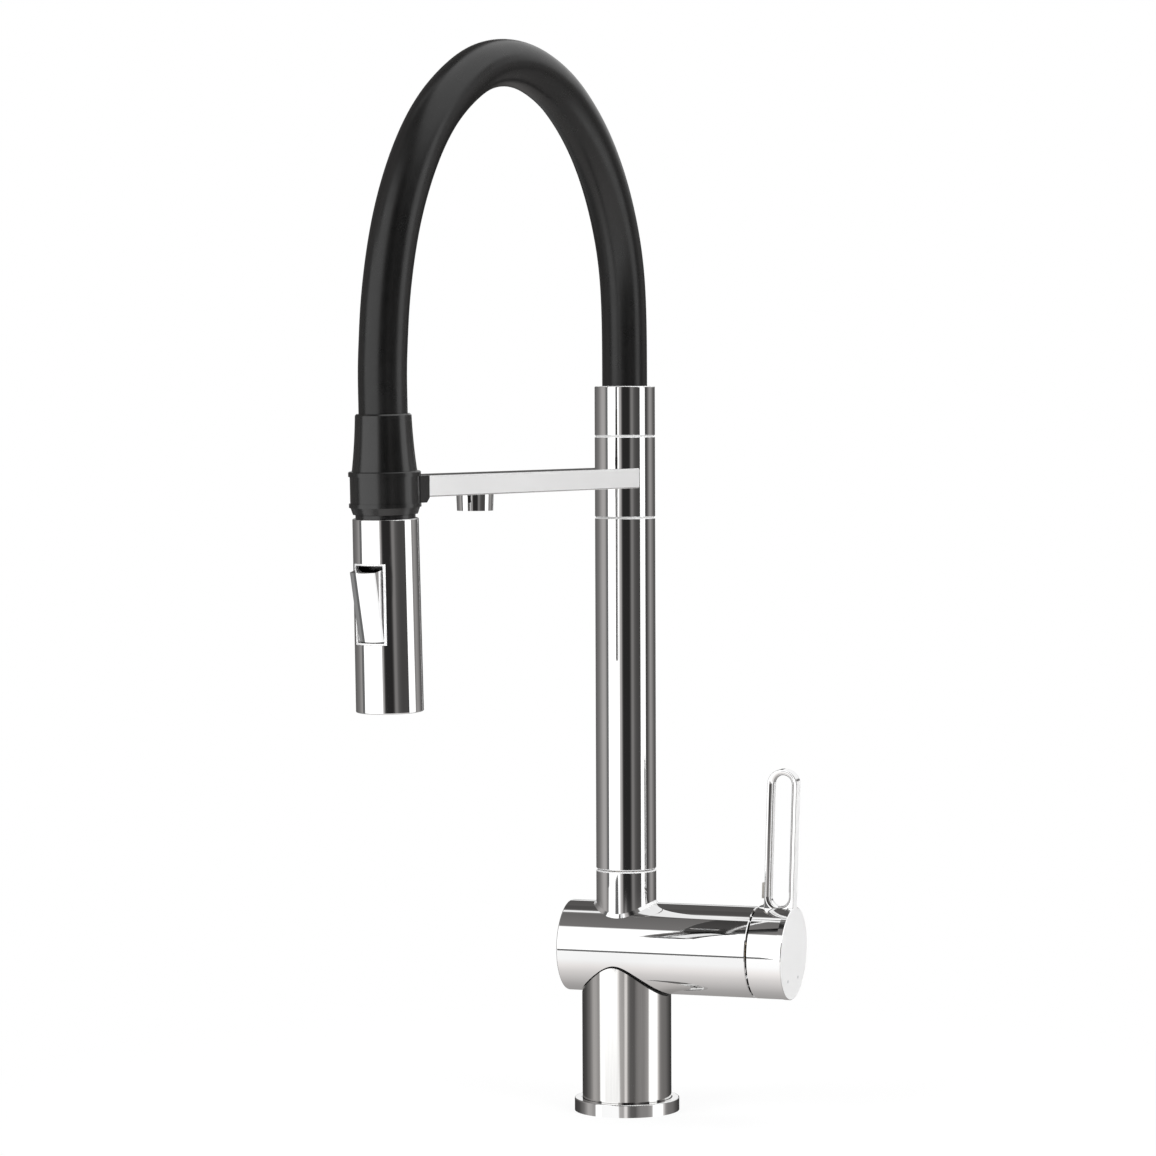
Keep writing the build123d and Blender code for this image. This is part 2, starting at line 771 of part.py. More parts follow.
def spout_frame(piece):
    """Turns a piece of the spout, made with the arm along -Y, to its place."""
    return Rot(0, 0, spout_turn) * piece


def dock_frame(piece):
    """Places a piece made about the dock ring's centre, with the arm behind it on its +Y side."""
    return spout_frame(Pos(0, -reach, dock_height) * Rot(dock_lean, 0, 0) * piece)


def riser_tube():
    riser = tube(riser_radius, riser_inner_radius, riser_low, collar_low)
    riser = chamfer(rim_edges(riser, riser_radius, riser_low), riser_edge)
    riser = chamfer(rim_edges(riser, riser_radius, collar_low), riser_edge)
    return spout_frame(riser)


def swivel_bush():
    bush = tube(riser_inner_radius - seat_gap, spigot_radius + running_gap, riser_low, bush_top)
    return spout_frame(bush)


def mixed_water_tube():
    low = spigot_top + 2 * cut_margin
    high = collar_low + manifold_foot + manifold_seat
    inner = mixed_tube_radius - mixed_tube_wall
    liner = tube(mixed_tube_radius, inner, low, high)
    return spout_frame(liner + tube(riser_inner_radius - seat_gap, inner, low, low + liner_flange_height))


def filtered_water_tube():
    inner = filtered_tube_radius - filtered_tube_wall
    low, high = bush_top - filtered_tube_socket, arm_height - filtered_tube_drop
    return spout_frame(tube(filtered_tube_radius, inner, low, high))


def collar_manifold():
    low, high = collar_low + manifold_foot, collar_high - manifold_head
    way_top = high - manifold_seat
    fitting = round_bar(collar_inner_radius - seat_gap, low, high)
    fitting -= round_bar(mixed_tube_radius + seat_gap, low - cut_margin, low + manifold_seat)
    fitting -= round_bar(filtered_tube_radius + seat_gap, low, arm_height - filtered_tube_drop)
    fitting -= round_bar(filtered_tube_radius - filtered_tube_wall, low, arm_height + arm_tube_radius)
    for x in (-mixed_way_offset, mixed_way_offset):
        fitting -= round_bar(waterway_radius, low, way_top, x)
    fitting -= round_bar(ferrule_stub_radius + seat_gap, way_top, high + cut_margin)
    fitting -= round_bar(mixed_way_offset + waterway_radius + side_gap, way_top, way_top + ferrule_gap)
    outside = collar_inner_radius + cut_margin
    fitting -= bar_out(arm_tube_radius - arm_tube_wall, 0, outside)
    fitting -= bar_out(arm_tube_radius + seat_gap, collar_inner_radius - arm_tube_socket, outside)
    for x in (-arm_screw_spread, arm_screw_spread):
        head_low = arm_screw_seat - arm_screw_head_height - side_gap
        fitting -= bar_out(arm_screw_head_radius + side_gap, head_low, outside, x)
    return spout_frame(fitting)


def arm_collar():
    collar = tube(riser_radius, collar_inner_radius, collar_low, collar_high)
    collar = chamfer(rim_edges(collar, riser_radius, collar_low), riser_edge)
    collar = chamfer(rim_edges(collar, riser_radius, collar_high), riser_edge)
    collar -= bar_out(arm_tube_radius + seat_gap, 0, 2 * riser_radius)
    for x in (-arm_screw_spread, arm_screw_spread):
        collar -= bar_out(arm_screw_radius + seat_gap, 0, 2 * riser_radius, x)
    return spout_frame(collar)


def riser_top():
    top = tube(riser_radius, hose_radius + seat_gap, collar_high, riser_top_height)
    top = chamfer(rim_edges(top, riser_radius, collar_high), riser_edge)
    top = fillet(rim_edges(top, riser_radius, riser_top_height), riser_edge)
    floor = tube(hose_radius + cut_margin, ferrule_radius + seat_gap, collar_high, hose_start)
    return spout_frame(top + floor)


def spout_arm():
    half, rise = arm_width / 2, arm_thickness / 2
    low, high = arm_height - rise, arm_height + rise
    arm = block(-half, half, -arm_tip, 0, low, high)
    arm = fillet(arm.edges().filter_by(Axis.Y), arm_edge)
    root = riser_radius + arm_root_length
    hollow = half - arm_wall
    arm -= block(-hollow, hollow, -arm_tip - cut_margin, -root, low + arm_wall, high - arm_wall)
    arm -= round_bar(riser_radius, low - cut_margin, high + cut_margin)
    spigot = arm_outlet_spigot_radius + seat_gap
    arm -= round_bar(spigot, low - cut_margin, arm_height, 0, -arm_outlet_reach)
    arm -= bar_out(arm_tube_radius + seat_gap, 0, root + cut_margin)
    for x in (-arm_screw_spread, arm_screw_spread):
        hole_end = arm_screw_seat + arm_screw_length + arm_screw_spare
        arm -= bar_out(arm_screw_radius + seat_gap / 2, 0, hole_end, x)
    return spout_frame(arm)


def arm_screws():
    screws = []
    for x in (-arm_screw_spread, arm_screw_spread):
        shank = bar_out(arm_screw_radius, arm_screw_seat, arm_screw_seat + arm_screw_length, x)
        head = bar_out(arm_screw_head_radius, arm_screw_seat - arm_screw_head_height, arm_screw_seat, x)
        screws.append(spout_frame(shank + head))
    return screws


def arm_water_tube():
    start = collar_inner_radius - arm_tube_socket
    end = arm_outlet_reach - arm_outlet_spigot_radius + arm_outlet_wall
    bore = arm_tube_radius - arm_tube_wall
    return spout_frame(bar_out(arm_tube_radius, start, end) - bar_out(bore, start, end))


def arm_outlet_housing():
    underside = arm_height - arm_thickness / 2
    low = underside - arm_outlet_drop
    high = arm_height + arm_thickness / 2 - arm_wall - seat_gap
    housing = cone_up(arm_outlet_radius - arm_outlet_taper, arm_outlet_radius, low, arm_outlet_drop)
    housing += round_bar(arm_outlet_spigot_radius, underside, high)
    housing -= round_bar(arm_outlet_spigot_radius - arm_outlet_wall, low - cut_margin, high - arm_wall)
    housing -= round_bar(arm_aerator_radius, low - cut_margin, underside - cut_margin)
    port = bar_out(arm_tube_radius + seat_gap, arm_outlet_reach - 2 * arm_outlet_radius, arm_outlet_reach)
    return spout_frame(Pos(0, -arm_outlet_reach, 0) * housing - port)


def arm_aerator():
    underside = arm_height - arm_thickness / 2
    low = underside - arm_outlet_drop + arm_aerator_recess
    radius = arm_aerator_radius - seat_gap
    insert = round_bar(radius, low, underside - arm_aerator_gap)
    half = arm_aerator_slot / 2
    count = int(radius / (2 * arm_aerator_slot))
    for number in range(-count, count + 1):
        middle = number * 2 * arm_aerator_slot
        along = (radius ** 2 - middle ** 2) ** 0.5 - arm_aerator_rim
        if along > arm_aerator_slot:
            top = low + arm_aerator_slot_depth
            insert -= block(-along, along, middle - half, middle + half, low - cut_margin, top)
    return spout_frame(Pos(0, -arm_outlet_reach, 0) * insert)


def ring_envelope(gap):
    """The space of the dock ring and its lips with a gap all round, in the dock's own frame."""
    shape = round_bar(ring_radius + gap, -2 * ring_height, 2 * ring_height)
    shape += round_bar(upper_lip_radius + 2 * gap, ring_high - gap, 2 * ring_height)
    shape += round_bar(lower_lip_radius + 2 * gap, -2 * ring_height, ring_low + gap)
    return shape


def dock_bracket():
    half = arm_width / 2
    low, high = dock_height + ring_low, dock_height + ring_high
    bracket = block(-half, half, -arm_tip - bracket_reach, -arm_tip, low, high)
    side = bracket_chamfer * 2 ** 0.5
    bracket -= Pos(0, -arm_tip, low) * Rot(45, 0, 0) * Box(2 * arm_width, side, side)
    bracket -= Pos(0, -reach, dock_height) * Rot(dock_lean, 0, 0) * ring_envelope(side_gap)
    wide = half - arm_wall - seat_gap
    rise = arm_thickness / 2 - arm_wall - seat_gap
    spigot_end = -arm_tip + bracket_spigot_length
    spigot = block(-wide, wide, -arm_tip, spigot_end, arm_height - rise, arm_height + rise)
    wide, rise = magnet_width / 2 + seat_gap, magnet_height / 2 + seat_gap
    pocket_low, pocket_high = -arm_tip + cut_margin, spigot_end + cut_margin
    pocket = block(-wide, wide, pocket_low, pocket_high, arm_height - rise, arm_height + rise)
    return spout_frame(bracket + spigot - pocket)


def dock_magnet():
    half, rise = magnet_width / 2, magnet_height / 2
    low = -arm_tip + cut_margin
    return spout_frame(block(-half, half, low, low + magnet_depth, arm_height - rise, arm_height + rise))


def hose_points():
    """The route's points in the spout's own frame, from the riser's top to the dock head's mouth."""
    points = [Vector(0, 0, hose_start)]
    for along, rise in hose_route:
        points.append(Vector(0, -along * reach, riser_top_height + rise * hose_rise))
    lean = radians(dock_lean)
    for rise in (hose_end_rise + hose_last_run, hose_end_rise):
        points.append(Vector(0, -reach - rise * sin(lean), dock_height + rise * cos(lean)))
    return points


def hose_path():
    points = hose_points()
    radii = []
    for before, corner, after in zip(points, points[1:], points[2:]):
        run_in, run_out = corner - before, after - corner
        turn = run_in.get_angle(run_out)
        shorter = min(run_in.length, run_out.length)
        radii.append(hose_corner_share * shorter / tan(radians(turn / 2)))
    print("hose arc radii", [round(radius, 1) for radius in radii])
    return FilletPolyline(*points, radius=radii)


def hose_layer(path, outer, wall):
    start = Plane(origin=hose_points()[0], z_dir=(0, 0, 1))
    layer = sweep(start * (Circle(outer) - Circle(outer - wall)), path)
    section = pi * (outer ** 2 - (outer - wall) ** 2)
    print("hose layer", outer, "length", path.length, "volume ratio", layer.volume / section / path.length)
    return spout_frame(layer)


def hose_ferrule():
    manifold_top = collar_high - manifold_head
    low = manifold_top - manifold_seat + ferrule_gap
    shoulder, barb_top = hose_start - ferrule_gap, hose_start + barb_length
    ferrule = round_bar(ferrule_stub_radius, low, manifold_top)
    ferrule += round_bar(ferrule_radius, manifold_top, shoulder)
    ferrule += round_bar(barb_radius, shoulder, barb_top)
    return spout_frame(ferrule - round_bar(barb_radius - barb_wall, low - cut_margin, barb_top + cut_margin))


def hose_cone():
    waist = cone_low + cone_height * cone_waist_share
    top_edge = cone_high - cone_lip_edge
    foot, side, lip = (cone_foot_radius, cone_low), (cone_waist_radius, waist), (cone_top_radius, top_edge)
    shoulder = hose_end_rise - seat_gap
    bore, throat = hose_radius + seat_gap, ferrule_radius + seat_gap
    with BuildPart() as cone:
        with BuildSketch(Plane.XZ):
            with BuildLine():
                Line((throat, cone_low), foot)
                ThreePointArc(foot, side, lip)
                Line(lip, (cone_top_radius - cone_lip_edge, cone_high))
                Line((cone_top_radius - cone_lip_edge, cone_high), (bore, cone_high))
                Line((bore, cone_high), (bore, shoulder))
                Line((bore, shoulder), (throat, shoulder))
                Line((throat, shoulder), (throat, cone_low))
            make_face()
        revolve(axis=Axis.Z)
    return dock_frame(cone.part)


def plate_block(gap):
    half, rise = plate_width / 2 + gap, plate_height / 2 + gap
    far = ring_radius - plate_cover
    return block(-half, half, far - plate_thickness - gap, far + gap, -rise, rise)


def dock_ring():
    lip_top, lip_bottom = ring_high + upper_lip_height, ring_low - lower_lip_height
    ring = round_bar(ring_radius, ring_low, ring_high)
    upper = round_bar(upper_lip_radius, ring_high, lip_top)
    upper = fillet(rim_edges(upper, upper_lip_radius, lip_top), upper_lip_height / 3)
    lower = round_bar(lower_lip_radius, lip_bottom, ring_low)
    ring = ring + upper + lower + cone_up(skirt_radius, ring_radius, skirt_low, skirt_height)
    ring -= round_bar(ring_bore_radius, skirt_low - cut_margin, lip_top + cut_margin)
    return dock_frame(ring - plate_block(seat_gap / 2))


def dock_plate():
    return dock_frame(plate_block(0))


def hose_end_fitting():
    """Brass fitting that ends the hose; its lower stub is the handset's swivel."""
    shoulder, barb_top = hose_end_rise - ferrule_gap, hose_end_rise + barb_length
    fitting = round_bar(ring_bore_radius - seat_gap, skirt_low, shoulder)
    fitting += round_bar(barb_radius, shoulder, barb_top)
    fitting += round_bar(swivel_stub_radius, stub_low, skirt_low)
    bore = barb_radius - barb_wall
    return dock_frame(fitting - round_bar(bore, stub_low - cut_margin, barb_top + cut_margin))


def window_block(half_width, low, high):
    return block(-half_width, half_width, -2 * handset_bottom_radius, -rocker_pocket_floor, low, high)


def handset_shell():
    shell = cone_up(handset_bottom_radius, handset_top_radius, shell_low, handset_length)
    shell = fillet(rim_edges(shell, handset_bottom_radius, shell_low), handset_edge)
    shell = fillet(rim_edges(shell, handset_top_radius, shell_high), handset_edge)
    shell -= round_bar(shell_inner_radius, shell_low - cut_margin, shell_high + cut_margin)
    return dock_frame(shell - window_block(window_width / 2, window_low, window_high))


def handset_core():
    core = round_bar(core_radius, core_low, shell_high)
    core += round_bar(neck_radius, shell_high, skirt_low - side_gap)
    core -= round_bar(swivel_stub_radius + running_gap, stub_low - side_gap, skirt_low)
    core -= round_bar(check_valve_radius + seat_gap, stub_low - side_gap - check_valve_length, skirt_low)
    core -= round_bar(core_way_radius, core_low - cut_margin, skirt_low)
    core -= window_block(rocker_pocket_half, window_low + frame_rim, window_high - frame_rim)
    pin = Rot(0, 90, 0) * Cylinder(rocker_pin_radius, 2 * core_radius)
    core -= Pos(0, -rocker_pin_depth, rocker_pin_height) * pin
    spool_space = spool_length / 2 + spool_travel + spool_spare
    bore_low, bore_high = window_middle - spool_space, window_middle + spool_space
    core -= round_bar(spool_radius + running_gap, bore_low, bore_high, 0, -spool_depth)
    return dock_frame(core)


def check_valve():
    high = stub_low - side_gap
    low = high - check_valve_length
    return dock_frame(tube(check_valve_radius, core_way_radius - check_valve_seat, low, high))


def toggle_frame():
    band = tube(handset_bottom_radius + frame_proud, shell_inner_radius + seat_gap, window_low, window_high)
    outer_half = window_width / 2 - seat_gap / 2
    frame = band & window_block(outer_half, window_low + seat_gap / 2, window_high - seat_gap / 2)
    inner_half = outer_half - frame_rim
    frame -= window_block(inner_half, window_low + frame_rim, window_high - frame_rim)
    front = max(frame.faces().filter_by(GeomType.CYLINDER), key=lambda f: f.radius)
    return dock_frame(fillet(front.edges(), frame_edge))


def rocker():
    """Made flush with the shell, as when pressed, then turned outward about its pin."""
    half = rocker_pocket_half - rocker_gap
    low = window_low + frame_rim + rocker_bottom_gap
    high = window_high - frame_rim - rocker_top_gap
    far = 2 * handset_bottom_radius
    body = round_bar(handset_bottom_radius, low, high) & block(-half, half, -far, -rocker_back, low, high)
    hollow_low = rocker_pin_height + rocker_boss_radius + side_gap
    hollow_half, hollow_high = half - rocker_wall, high - rocker_wall
    hollow = round_bar(handset_bottom_radius - rocker_wall, hollow_low, hollow_high)
    body -= hollow & block(-hollow_half, hollow_half, -far, 0, hollow_low, hollow_high)
    at_pin = Pos(0, -rocker_pin_depth, rocker_pin_height)
    body += at_pin * Rot(0, 90, 0) * Cylinder(rocker_boss_radius, 2 * (half - side_gap))
    body -= at_pin * Rot(0, 90, 0) * Cylinder(rocker_pin_radius + running_gap, 2 * window_width)
    turn = at_pin * Rot(rocker_lean, 0, 0) * Pos(0, rocker_pin_depth, -rocker_pin_height)
    return dock_frame(turn * body)


def rocker_pin():
    half = (core_radius ** 2 - (rocker_pin_depth + rocker_pin_radius) ** 2) ** 0.5 - side_gap
    pin = Rot(0, 90, 0) * Cylinder(rocker_pin_radius, 2 * half)
    return dock_frame(Pos(0, -rocker_pin_depth, rocker_pin_height) * pin)


def diverter_spool():
    low, high = window_middle - spool_length / 2, window_middle + spool_length / 2
    spool = round_bar(spool_radius, low, high, 0, -spool_depth)
    half = spool_groove_width / 2
    waist = spool_radius - spool_groove_depth
    for height in (low + spool_groove_inset, high - spool_groove_inset):
        spool -= tube(spool_radius + cut_margin, waist, height - half, height + half, 0, -spool_depth)
    outside = window_block(2 * spool_radius, low - cut_margin, high + cut_margin)
    return dock_frame(spool - Pos(0, side_gap, 0) * outside)


def spray_ring():
    outer = shell_inner_radius - seat_gap
    low = shell_low + spray_ring_recess
    return dock_frame(tube(outer, outer - spray_ring_width, low, low + spray_ring_height))


def spray_face():
    outer = shell_inner_radius - 2 * seat_gap - spray_ring_width
    low = shell_low + spray_face_recess
    face = tube(outer, aerator_radius + seat_gap, low, low + spray_face_thickness)
    for radius, count in zip(nozzle_ring_radii, nozzle_ring_counts):
        for number in range(count):
            angle = 2 * pi * number / count
            x, y = radius * cos(angle), radius * sin(angle)
            face += cone_up(nozzle_tip_radius, nozzle_radius, low - nozzle_height, nozzle_height, x, y)
    return dock_frame(face)


def handset_aerator():
    low = shell_low + spray_face_recess - aerator_proud
    insert = round_bar(aerator_radius, low, low + aerator_height)
    count = int(aerator_radius / aerator_pitch)
    half = aerator_cell / 2
    top = low + aerator_cell_depth
    for column in range(-count, count + 1):
        for row in range(-count, count + 1):
            x, y = column * aerator_pitch, row * aerator_pitch
            if hypot(x, y) < aerator_radius - aerator_rim:
                insert -= block(x - half, x + half, y - half, y + half, low - cut_margin, top)
    return dock_frame(insert)


def build_nodes():
    path = hose_path()
    nodes = {
        "base_flange": base_flange(),
        "deck_seal": deck_seal(),
        "column_tube": column_tube(),
        "base_manifold": base_manifold(),
        "supply_tubes": [supply_tube("hot"), supply_tube("cold")],
        "filtered_supply_tube": supply_tube("filtered"),
        "mixer_body": mixer_body(),
        "riser_socket": riser_socket(),
        "spout_spigot": spout_spigot(),
        "spigot_o_rings": spigot_o_rings(),
        "spigot_clip": spigot_clip(),
        "filter_valve": filter_valve(),
        "end_cap": end_cap(),
        "filter_button": filter_button(),
        "button_spring": button_spring(),
        "cartridge_seals": cartridge_seals(),
        "cartridge_housing": cartridge_housing(),
        "ceramic_fixed_disc": ceramic_fixed_disc(),
        "ceramic_moving_disc": ceramic_moving_disc(),
        "cartridge_rotor": cartridge_rotor(),
        "cartridge_nut": cartridge_nut(),
        "lever_stem": lever_stem(),
        "lever_handle": lever_handle(),
        "lever_set_screw": lever_set_screw(),
        "screw_plug": screw_plug(),
        "lever_bumper": lever_bumper(),
        "temperature_marks": temperature_marks(),
        "riser_tube": riser_tube(),
        "swivel_bush": swivel_bush(),
        "mixed_water_tube": mixed_water_tube(),
        "filtered_water_tube": filtered_water_tube(),
        "collar_manifold": collar_manifold(),
        "arm_collar": arm_collar(),
        "riser_top": riser_top(),
        "spout_arm": spout_arm(),
        "arm_screws": arm_screws(),
        "arm_water_tube": arm_water_tube(),
        "arm_outlet_housing": arm_outlet_housing(),
        "arm_aerator": arm_aerator(),
        "dock_bracket": dock_bracket(),
        "dock_magnet": dock_magnet(),
        "hose_sleeve": hose_layer(path, hose_radius, hose_wall),
        "hose_spring": hose_layer(path, hose_spring_radius, hose_spring_wall),
        "inner_hose": hose_layer(path, inner_hose_radius, inner_hose_wall),
        "hose_ferrule": hose_ferrule(),
        "hose_cone": hose_cone(),
        "dock_ring": dock_ring(),
        "dock_plate": dock_plate(),
        "hose_end_fitting": hose_end_fitting(),
        "handset_shell": handset_shell(),
        "handset_core": handset_core(),
        "check_valve": check_valve(),
        "toggle_frame": toggle_frame(),
        "rocker": rocker(),
        "rocker_pin": rocker_pin(),
        "diverter_spool": diverter_spool(),
        "spray_ring": spray_ring(),
        "spray_face": spray_face(),
        "handset_aerator": handset_aerator(),
    }
    return nodes


os.makedirs("parts", exist_ok=True)
for name, shape in build_nodes().items():
    solids = shape if isinstance(shape, list) else [shape]
    node = Compound(children=[Part(s.wrapped) for s in solids]) if len(solids) > 1 else solids[0]
    export_step(node, f"parts/{name}.step")
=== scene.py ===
from math import cos, pi, radians, sin

import bmesh
import bpy
from mathutils import Matrix, Vector


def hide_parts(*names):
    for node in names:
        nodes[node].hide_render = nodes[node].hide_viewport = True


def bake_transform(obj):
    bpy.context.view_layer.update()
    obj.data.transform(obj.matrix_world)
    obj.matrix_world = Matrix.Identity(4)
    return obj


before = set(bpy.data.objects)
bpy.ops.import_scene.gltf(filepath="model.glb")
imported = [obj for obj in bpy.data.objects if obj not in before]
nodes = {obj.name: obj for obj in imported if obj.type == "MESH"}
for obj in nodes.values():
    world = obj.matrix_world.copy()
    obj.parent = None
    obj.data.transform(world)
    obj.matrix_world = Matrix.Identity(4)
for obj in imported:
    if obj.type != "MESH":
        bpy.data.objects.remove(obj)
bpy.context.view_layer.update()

# A single-lever kitchen tap with a pull-off spray. Metres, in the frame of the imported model.

# Camera, as fitted to the photograph
CAMERA_PLACE = (0.6738, -1.9534, 0.3612)
CAMERA_AZIMUTH = radians(19.03)
CAMERA_PITCH = radians(-2.621)
CAMERA_ROLL = radians(-0.195)
CAMERA_LENS = 129.19
CAMERA_SHIFT = -0.041

# Spout and dock, as the part's source places them
SPOUT_TURN = radians(-12.5)
REACH = 0.209
DOCK_HEIGHT = 0.31545
DOCK_LEAN = radians(1.7)

# The hose, and how far above the dock its line runs straight in the dock head
HOSE_HELD = (0.0545, 0.041, 0.028, 0.0172)
HOSE_RADIUS = 0.0112
HOSE_WALL = 0.0023
COIL_RADIUS = 0.0074
COIL_WIRE = 0.0011
COIL_TURNS = 84
INNER_HOSE_RADIUS = 0.0055
INNER_HOSE_WALL = 0.0019

# Distance from the column's axis at which painted shade darkens the groove under the barrel, and how dark
GROOVE_SHADE_RADII = (0.0214, 0.0218)
GROOVE_SHADE_GREY = 0.012

# Roughness of polished plate, from its clean parts to its smears, and the span of the noise that draws them
POLISH = (0.012, 0.045)
SMEAR_SPAN = (0.3, 0.75)
RIPPLE = 0.012

# Roughness and share of metal of the bead-blasted faces, and the roughness and grey of a face given painted
# shade
SATIN = (0.4, 0.48)
SATIN_METAL = 0.2
SHADED_FACE_ROUGH = 0.3
SHADED_FACE_GREY = 0.1

# Cosine from an axis at which a face's own finish begins and is full: flat faces, and bevels turned up
FLAT_FACE = (0.955, 0.985)
BEVEL_FACE = (0.6, 0.66)


def spout_point(along, side, height):
    """A point given along the arm, beside it and above the deck."""
    x, y = side, -along
    turned_x = x * cos(SPOUT_TURN) - y * sin(SPOUT_TURN)
    turned_y = x * sin(SPOUT_TURN) + y * cos(SPOUT_TURN)
    return Vector((turned_x, turned_y, height))


def camera_axes():
    """The camera's right, up and look directions."""
    ahead = Vector((-sin(CAMERA_AZIMUTH), cos(CAMERA_AZIMUTH), 0))
    side = ahead.cross(Vector((0, 0, 1)))
    look = ahead * cos(CAMERA_PITCH) + Vector((0, 0, 1)) * sin(CAMERA_PITCH)
    up = side.cross(look)
    right = side * cos(CAMERA_ROLL) + up * sin(CAMERA_ROLL)
    return right, right.cross(look), look


def make_camera():
    right, up, look = camera_axes()
    camera = bpy.data.objects.new("camera", bpy.data.cameras.new("camera"))
    bpy.context.scene.collection.objects.link(camera)
    camera.matrix_world = Matrix((
        (right.x, up.x, -look.x, CAMERA_PLACE[0]),
        (right.y, up.y, -look.y, CAMERA_PLACE[1]),
        (right.z, up.z, -look.z, CAMERA_PLACE[2]),
        (0, 0, 0, 1)))
    camera.data.sensor_width = 36
    camera.data.lens = CAMERA_LENS
    camera.data.shift_x = CAMERA_SHIFT
    camera.data.clip_start, camera.data.clip_end = 0.05, 50
    bpy.context.scene.camera = camera


make_camera()


# Materials
def new_material(name, **sockets):
    material = bpy.data.materials.new(name)
    material.use_nodes = True
    shader = material.node_tree.nodes["Principled BSDF"]
    for socket, value in sockets.items():
        shader.inputs[socket.replace("_", " ")].default_value = value
    return material, material.node_tree, shader


def join(tree, source, target):
    tree.links.new(source, target)


def ramp(tree, stops, source):
    made = tree.nodes.new("ShaderNodeValToRGB")
    elements = made.color_ramp.elements
    while len(elements) < len(stops):
        elements.new(0.5)
    for element, (place, colour) in zip(elements, stops):
        element.position = place
        element.color = (*colour, 1) if len(colour) == 3 else colour
    join(tree, source, made.inputs["Fac"])
    return made


def grey(value):
    return (value, value, value)


def coordinates(tree, scale=(1, 1, 1)):
    texture = tree.nodes.new("ShaderNodeTexCoord")
    mapping = tree.nodes.new("ShaderNodeMapping")
    mapping.inputs["Scale"].default_value = scale
    join(tree, texture.outputs["Object"], mapping.inputs["Vector"])
    return mapping.outputs["Vector"]


def noise(tree, scale, detail=4.0, stretch=(1, 1, 1), roughness=0.5):
    made = tree.nodes.new("ShaderNodeTexNoise")
    made.inputs["Scale"].default_value = scale
    made.inputs["Detail"].default_value = detail
    made.inputs["Roughness"].default_value = roughness
    join(tree, coordinates(tree, stretch), made.inputs["Vector"])
    return made.outputs["Fac"]


def map_range(tree, source, low, high, from_low=0.0, from_high=1.0):
    made = tree.nodes.new("ShaderNodeMapRange")
    made.inputs["From Min"].default_value = from_low
    made.inputs["From Max"].default_value = from_high
    made.inputs["To Min"].default_value = low
    made.inputs["To Max"].default_value = high
    join(tree, source, made.inputs["Value"])
    return made.outputs["Result"]


def bump(tree, shader, source, strength, distance):
    made = tree.nodes.new("ShaderNodeBump")
    made.inputs["Strength"].default_value = strength
    made.inputs["Distance"].default_value = distance
    join(tree, source, made.inputs["Height"])
    join(tree, made.outputs["Normal"], shader.inputs["Normal"])


def math(tree, operation, first, second=None, third=None):
    made = tree.nodes.new("ShaderNodeMath")
    made.operation = operation
    for socket, value in zip(made.inputs, (first, second, third)):
        if value is None:
            continue
        if isinstance(value, (int, float)):
            socket.default_value = value
        else:
            join(tree, value, socket)
    return made.outputs[0]


def mixed(tree, factor, first, second):
    """The first value where the factor is 0, the second where it is 1."""
    return math(tree, "ADD", first, math(tree, "MULTIPLY", factor, math(tree, "SUBTRACT", second, first)))


def dot(tree, vector, other):
    """The dot product of a vector with a fixed direction or with another socket."""
    made = tree.nodes.new("ShaderNodeVectorMath")
    made.operation = "DOT_PRODUCT"
    join(tree, vector, made.inputs[0])
    if isinstance(other, tuple):
        made.inputs[1].default_value = other
    else:
        join(tree, other, made.inputs[1])
    return made.outputs["Value"]


def length(tree, vector):
    return math(tree, "SQRT", dot(tree, vector, vector))


# Places of the Mix node's colour sockets, whose names are those of its other sockets too
MIX_FIRST, MIX_SECOND, MIX_RESULT = 6, 7, 2


def blend_colours(tree, factor, first, second):
    """The first colour where the factor is 0, the second where it is 1."""
    made = tree.nodes.new("ShaderNodeMix")
    made.data_type = "RGBA"
    sockets = (made.inputs["Factor"], made.inputs[MIX_FIRST], made.inputs[MIX_SECOND])
    for socket, value in zip(sockets, (factor, first, second)):
        if isinstance(value, (int, float, tuple)):
            socket.default_value = value
        else:
            join(tree, value, socket)
    return made.outputs[MIX_RESULT]


def facing(tree, axis, low, high):
    """1 where the piece's own surface faces along an axis, 0 where it turns away."""
    made = tree.nodes.new("ShaderNodeTexCoord")
    return map_range(tree, dot(tree, made.outputs["Normal"], axis), 0, 1, low, high)


def chrome(name, colour=0.82):
    """Polished plate: faint smears in the roughness and the slow ripple of a polished surface."""
    material, tree, shader = new_material(name, Metallic=1.0)
    smear = noise(tree, 55, 5, (1, 1, 0.35), 0.6)
    tone = ramp(tree, [(0.3, grey(colour - 0.03)), (0.7, grey(colour + 0.02))], noise(tree, 18, 3))
    join(tree, tone.outputs["Color"], shader.inputs["Base Color"])
    join(tree, map_range(tree, smear, *POLISH, *SMEAR_SPAN), shader.inputs["Roughness"])
    bump(tree, shader, noise(tree, 40, 1), RIPPLE, 0.0002)
    return material, tree, shader


def largest(tree, values):
    """The largest of several values."""
    found = values[0]
    for value in values[1:]:
        found = math(tree, "MAXIMUM", found, value)
    return found


def satin_faced(name, axes, colour=0.9, span=FLAT_FACE, shaded_axis=None):
    """Polished plate, faces along some axes bead-blasted to pale satin, one darkened by painted shade."""
    material, tree, shader = chrome(name, colour)
    face = largest(tree, [facing(tree, axis, *span) for axis in axes])
    join(tree, math(tree, "MULTIPLY_ADD", face, SATIN_METAL - 1, 1), shader.inputs["Metallic"])
    polished = shader.inputs["Roughness"].links[0].from_socket
    satin = map_range(tree, noise(tree, 300, 3), *SATIN, 0.3, 0.7)
    rough = mixed(tree, face, polished, satin)
    # Painted shade: the face along this axis is darkened to a grey and made rougher
    if shaded_axis:
        under = facing(tree, shaded_axis, *FLAT_FACE)
        rough = mixed(tree, under, rough, SHADED_FACE_ROUGH)
        tone = shader.inputs["Base Color"].links[0].from_socket
        join(tree, blend_colours(tree, under, tone, (*grey(SHADED_FACE_GREY), 1)), shader.inputs["Base Color"])
    join(tree, rough, shader.inputs["Roughness"])
    return material


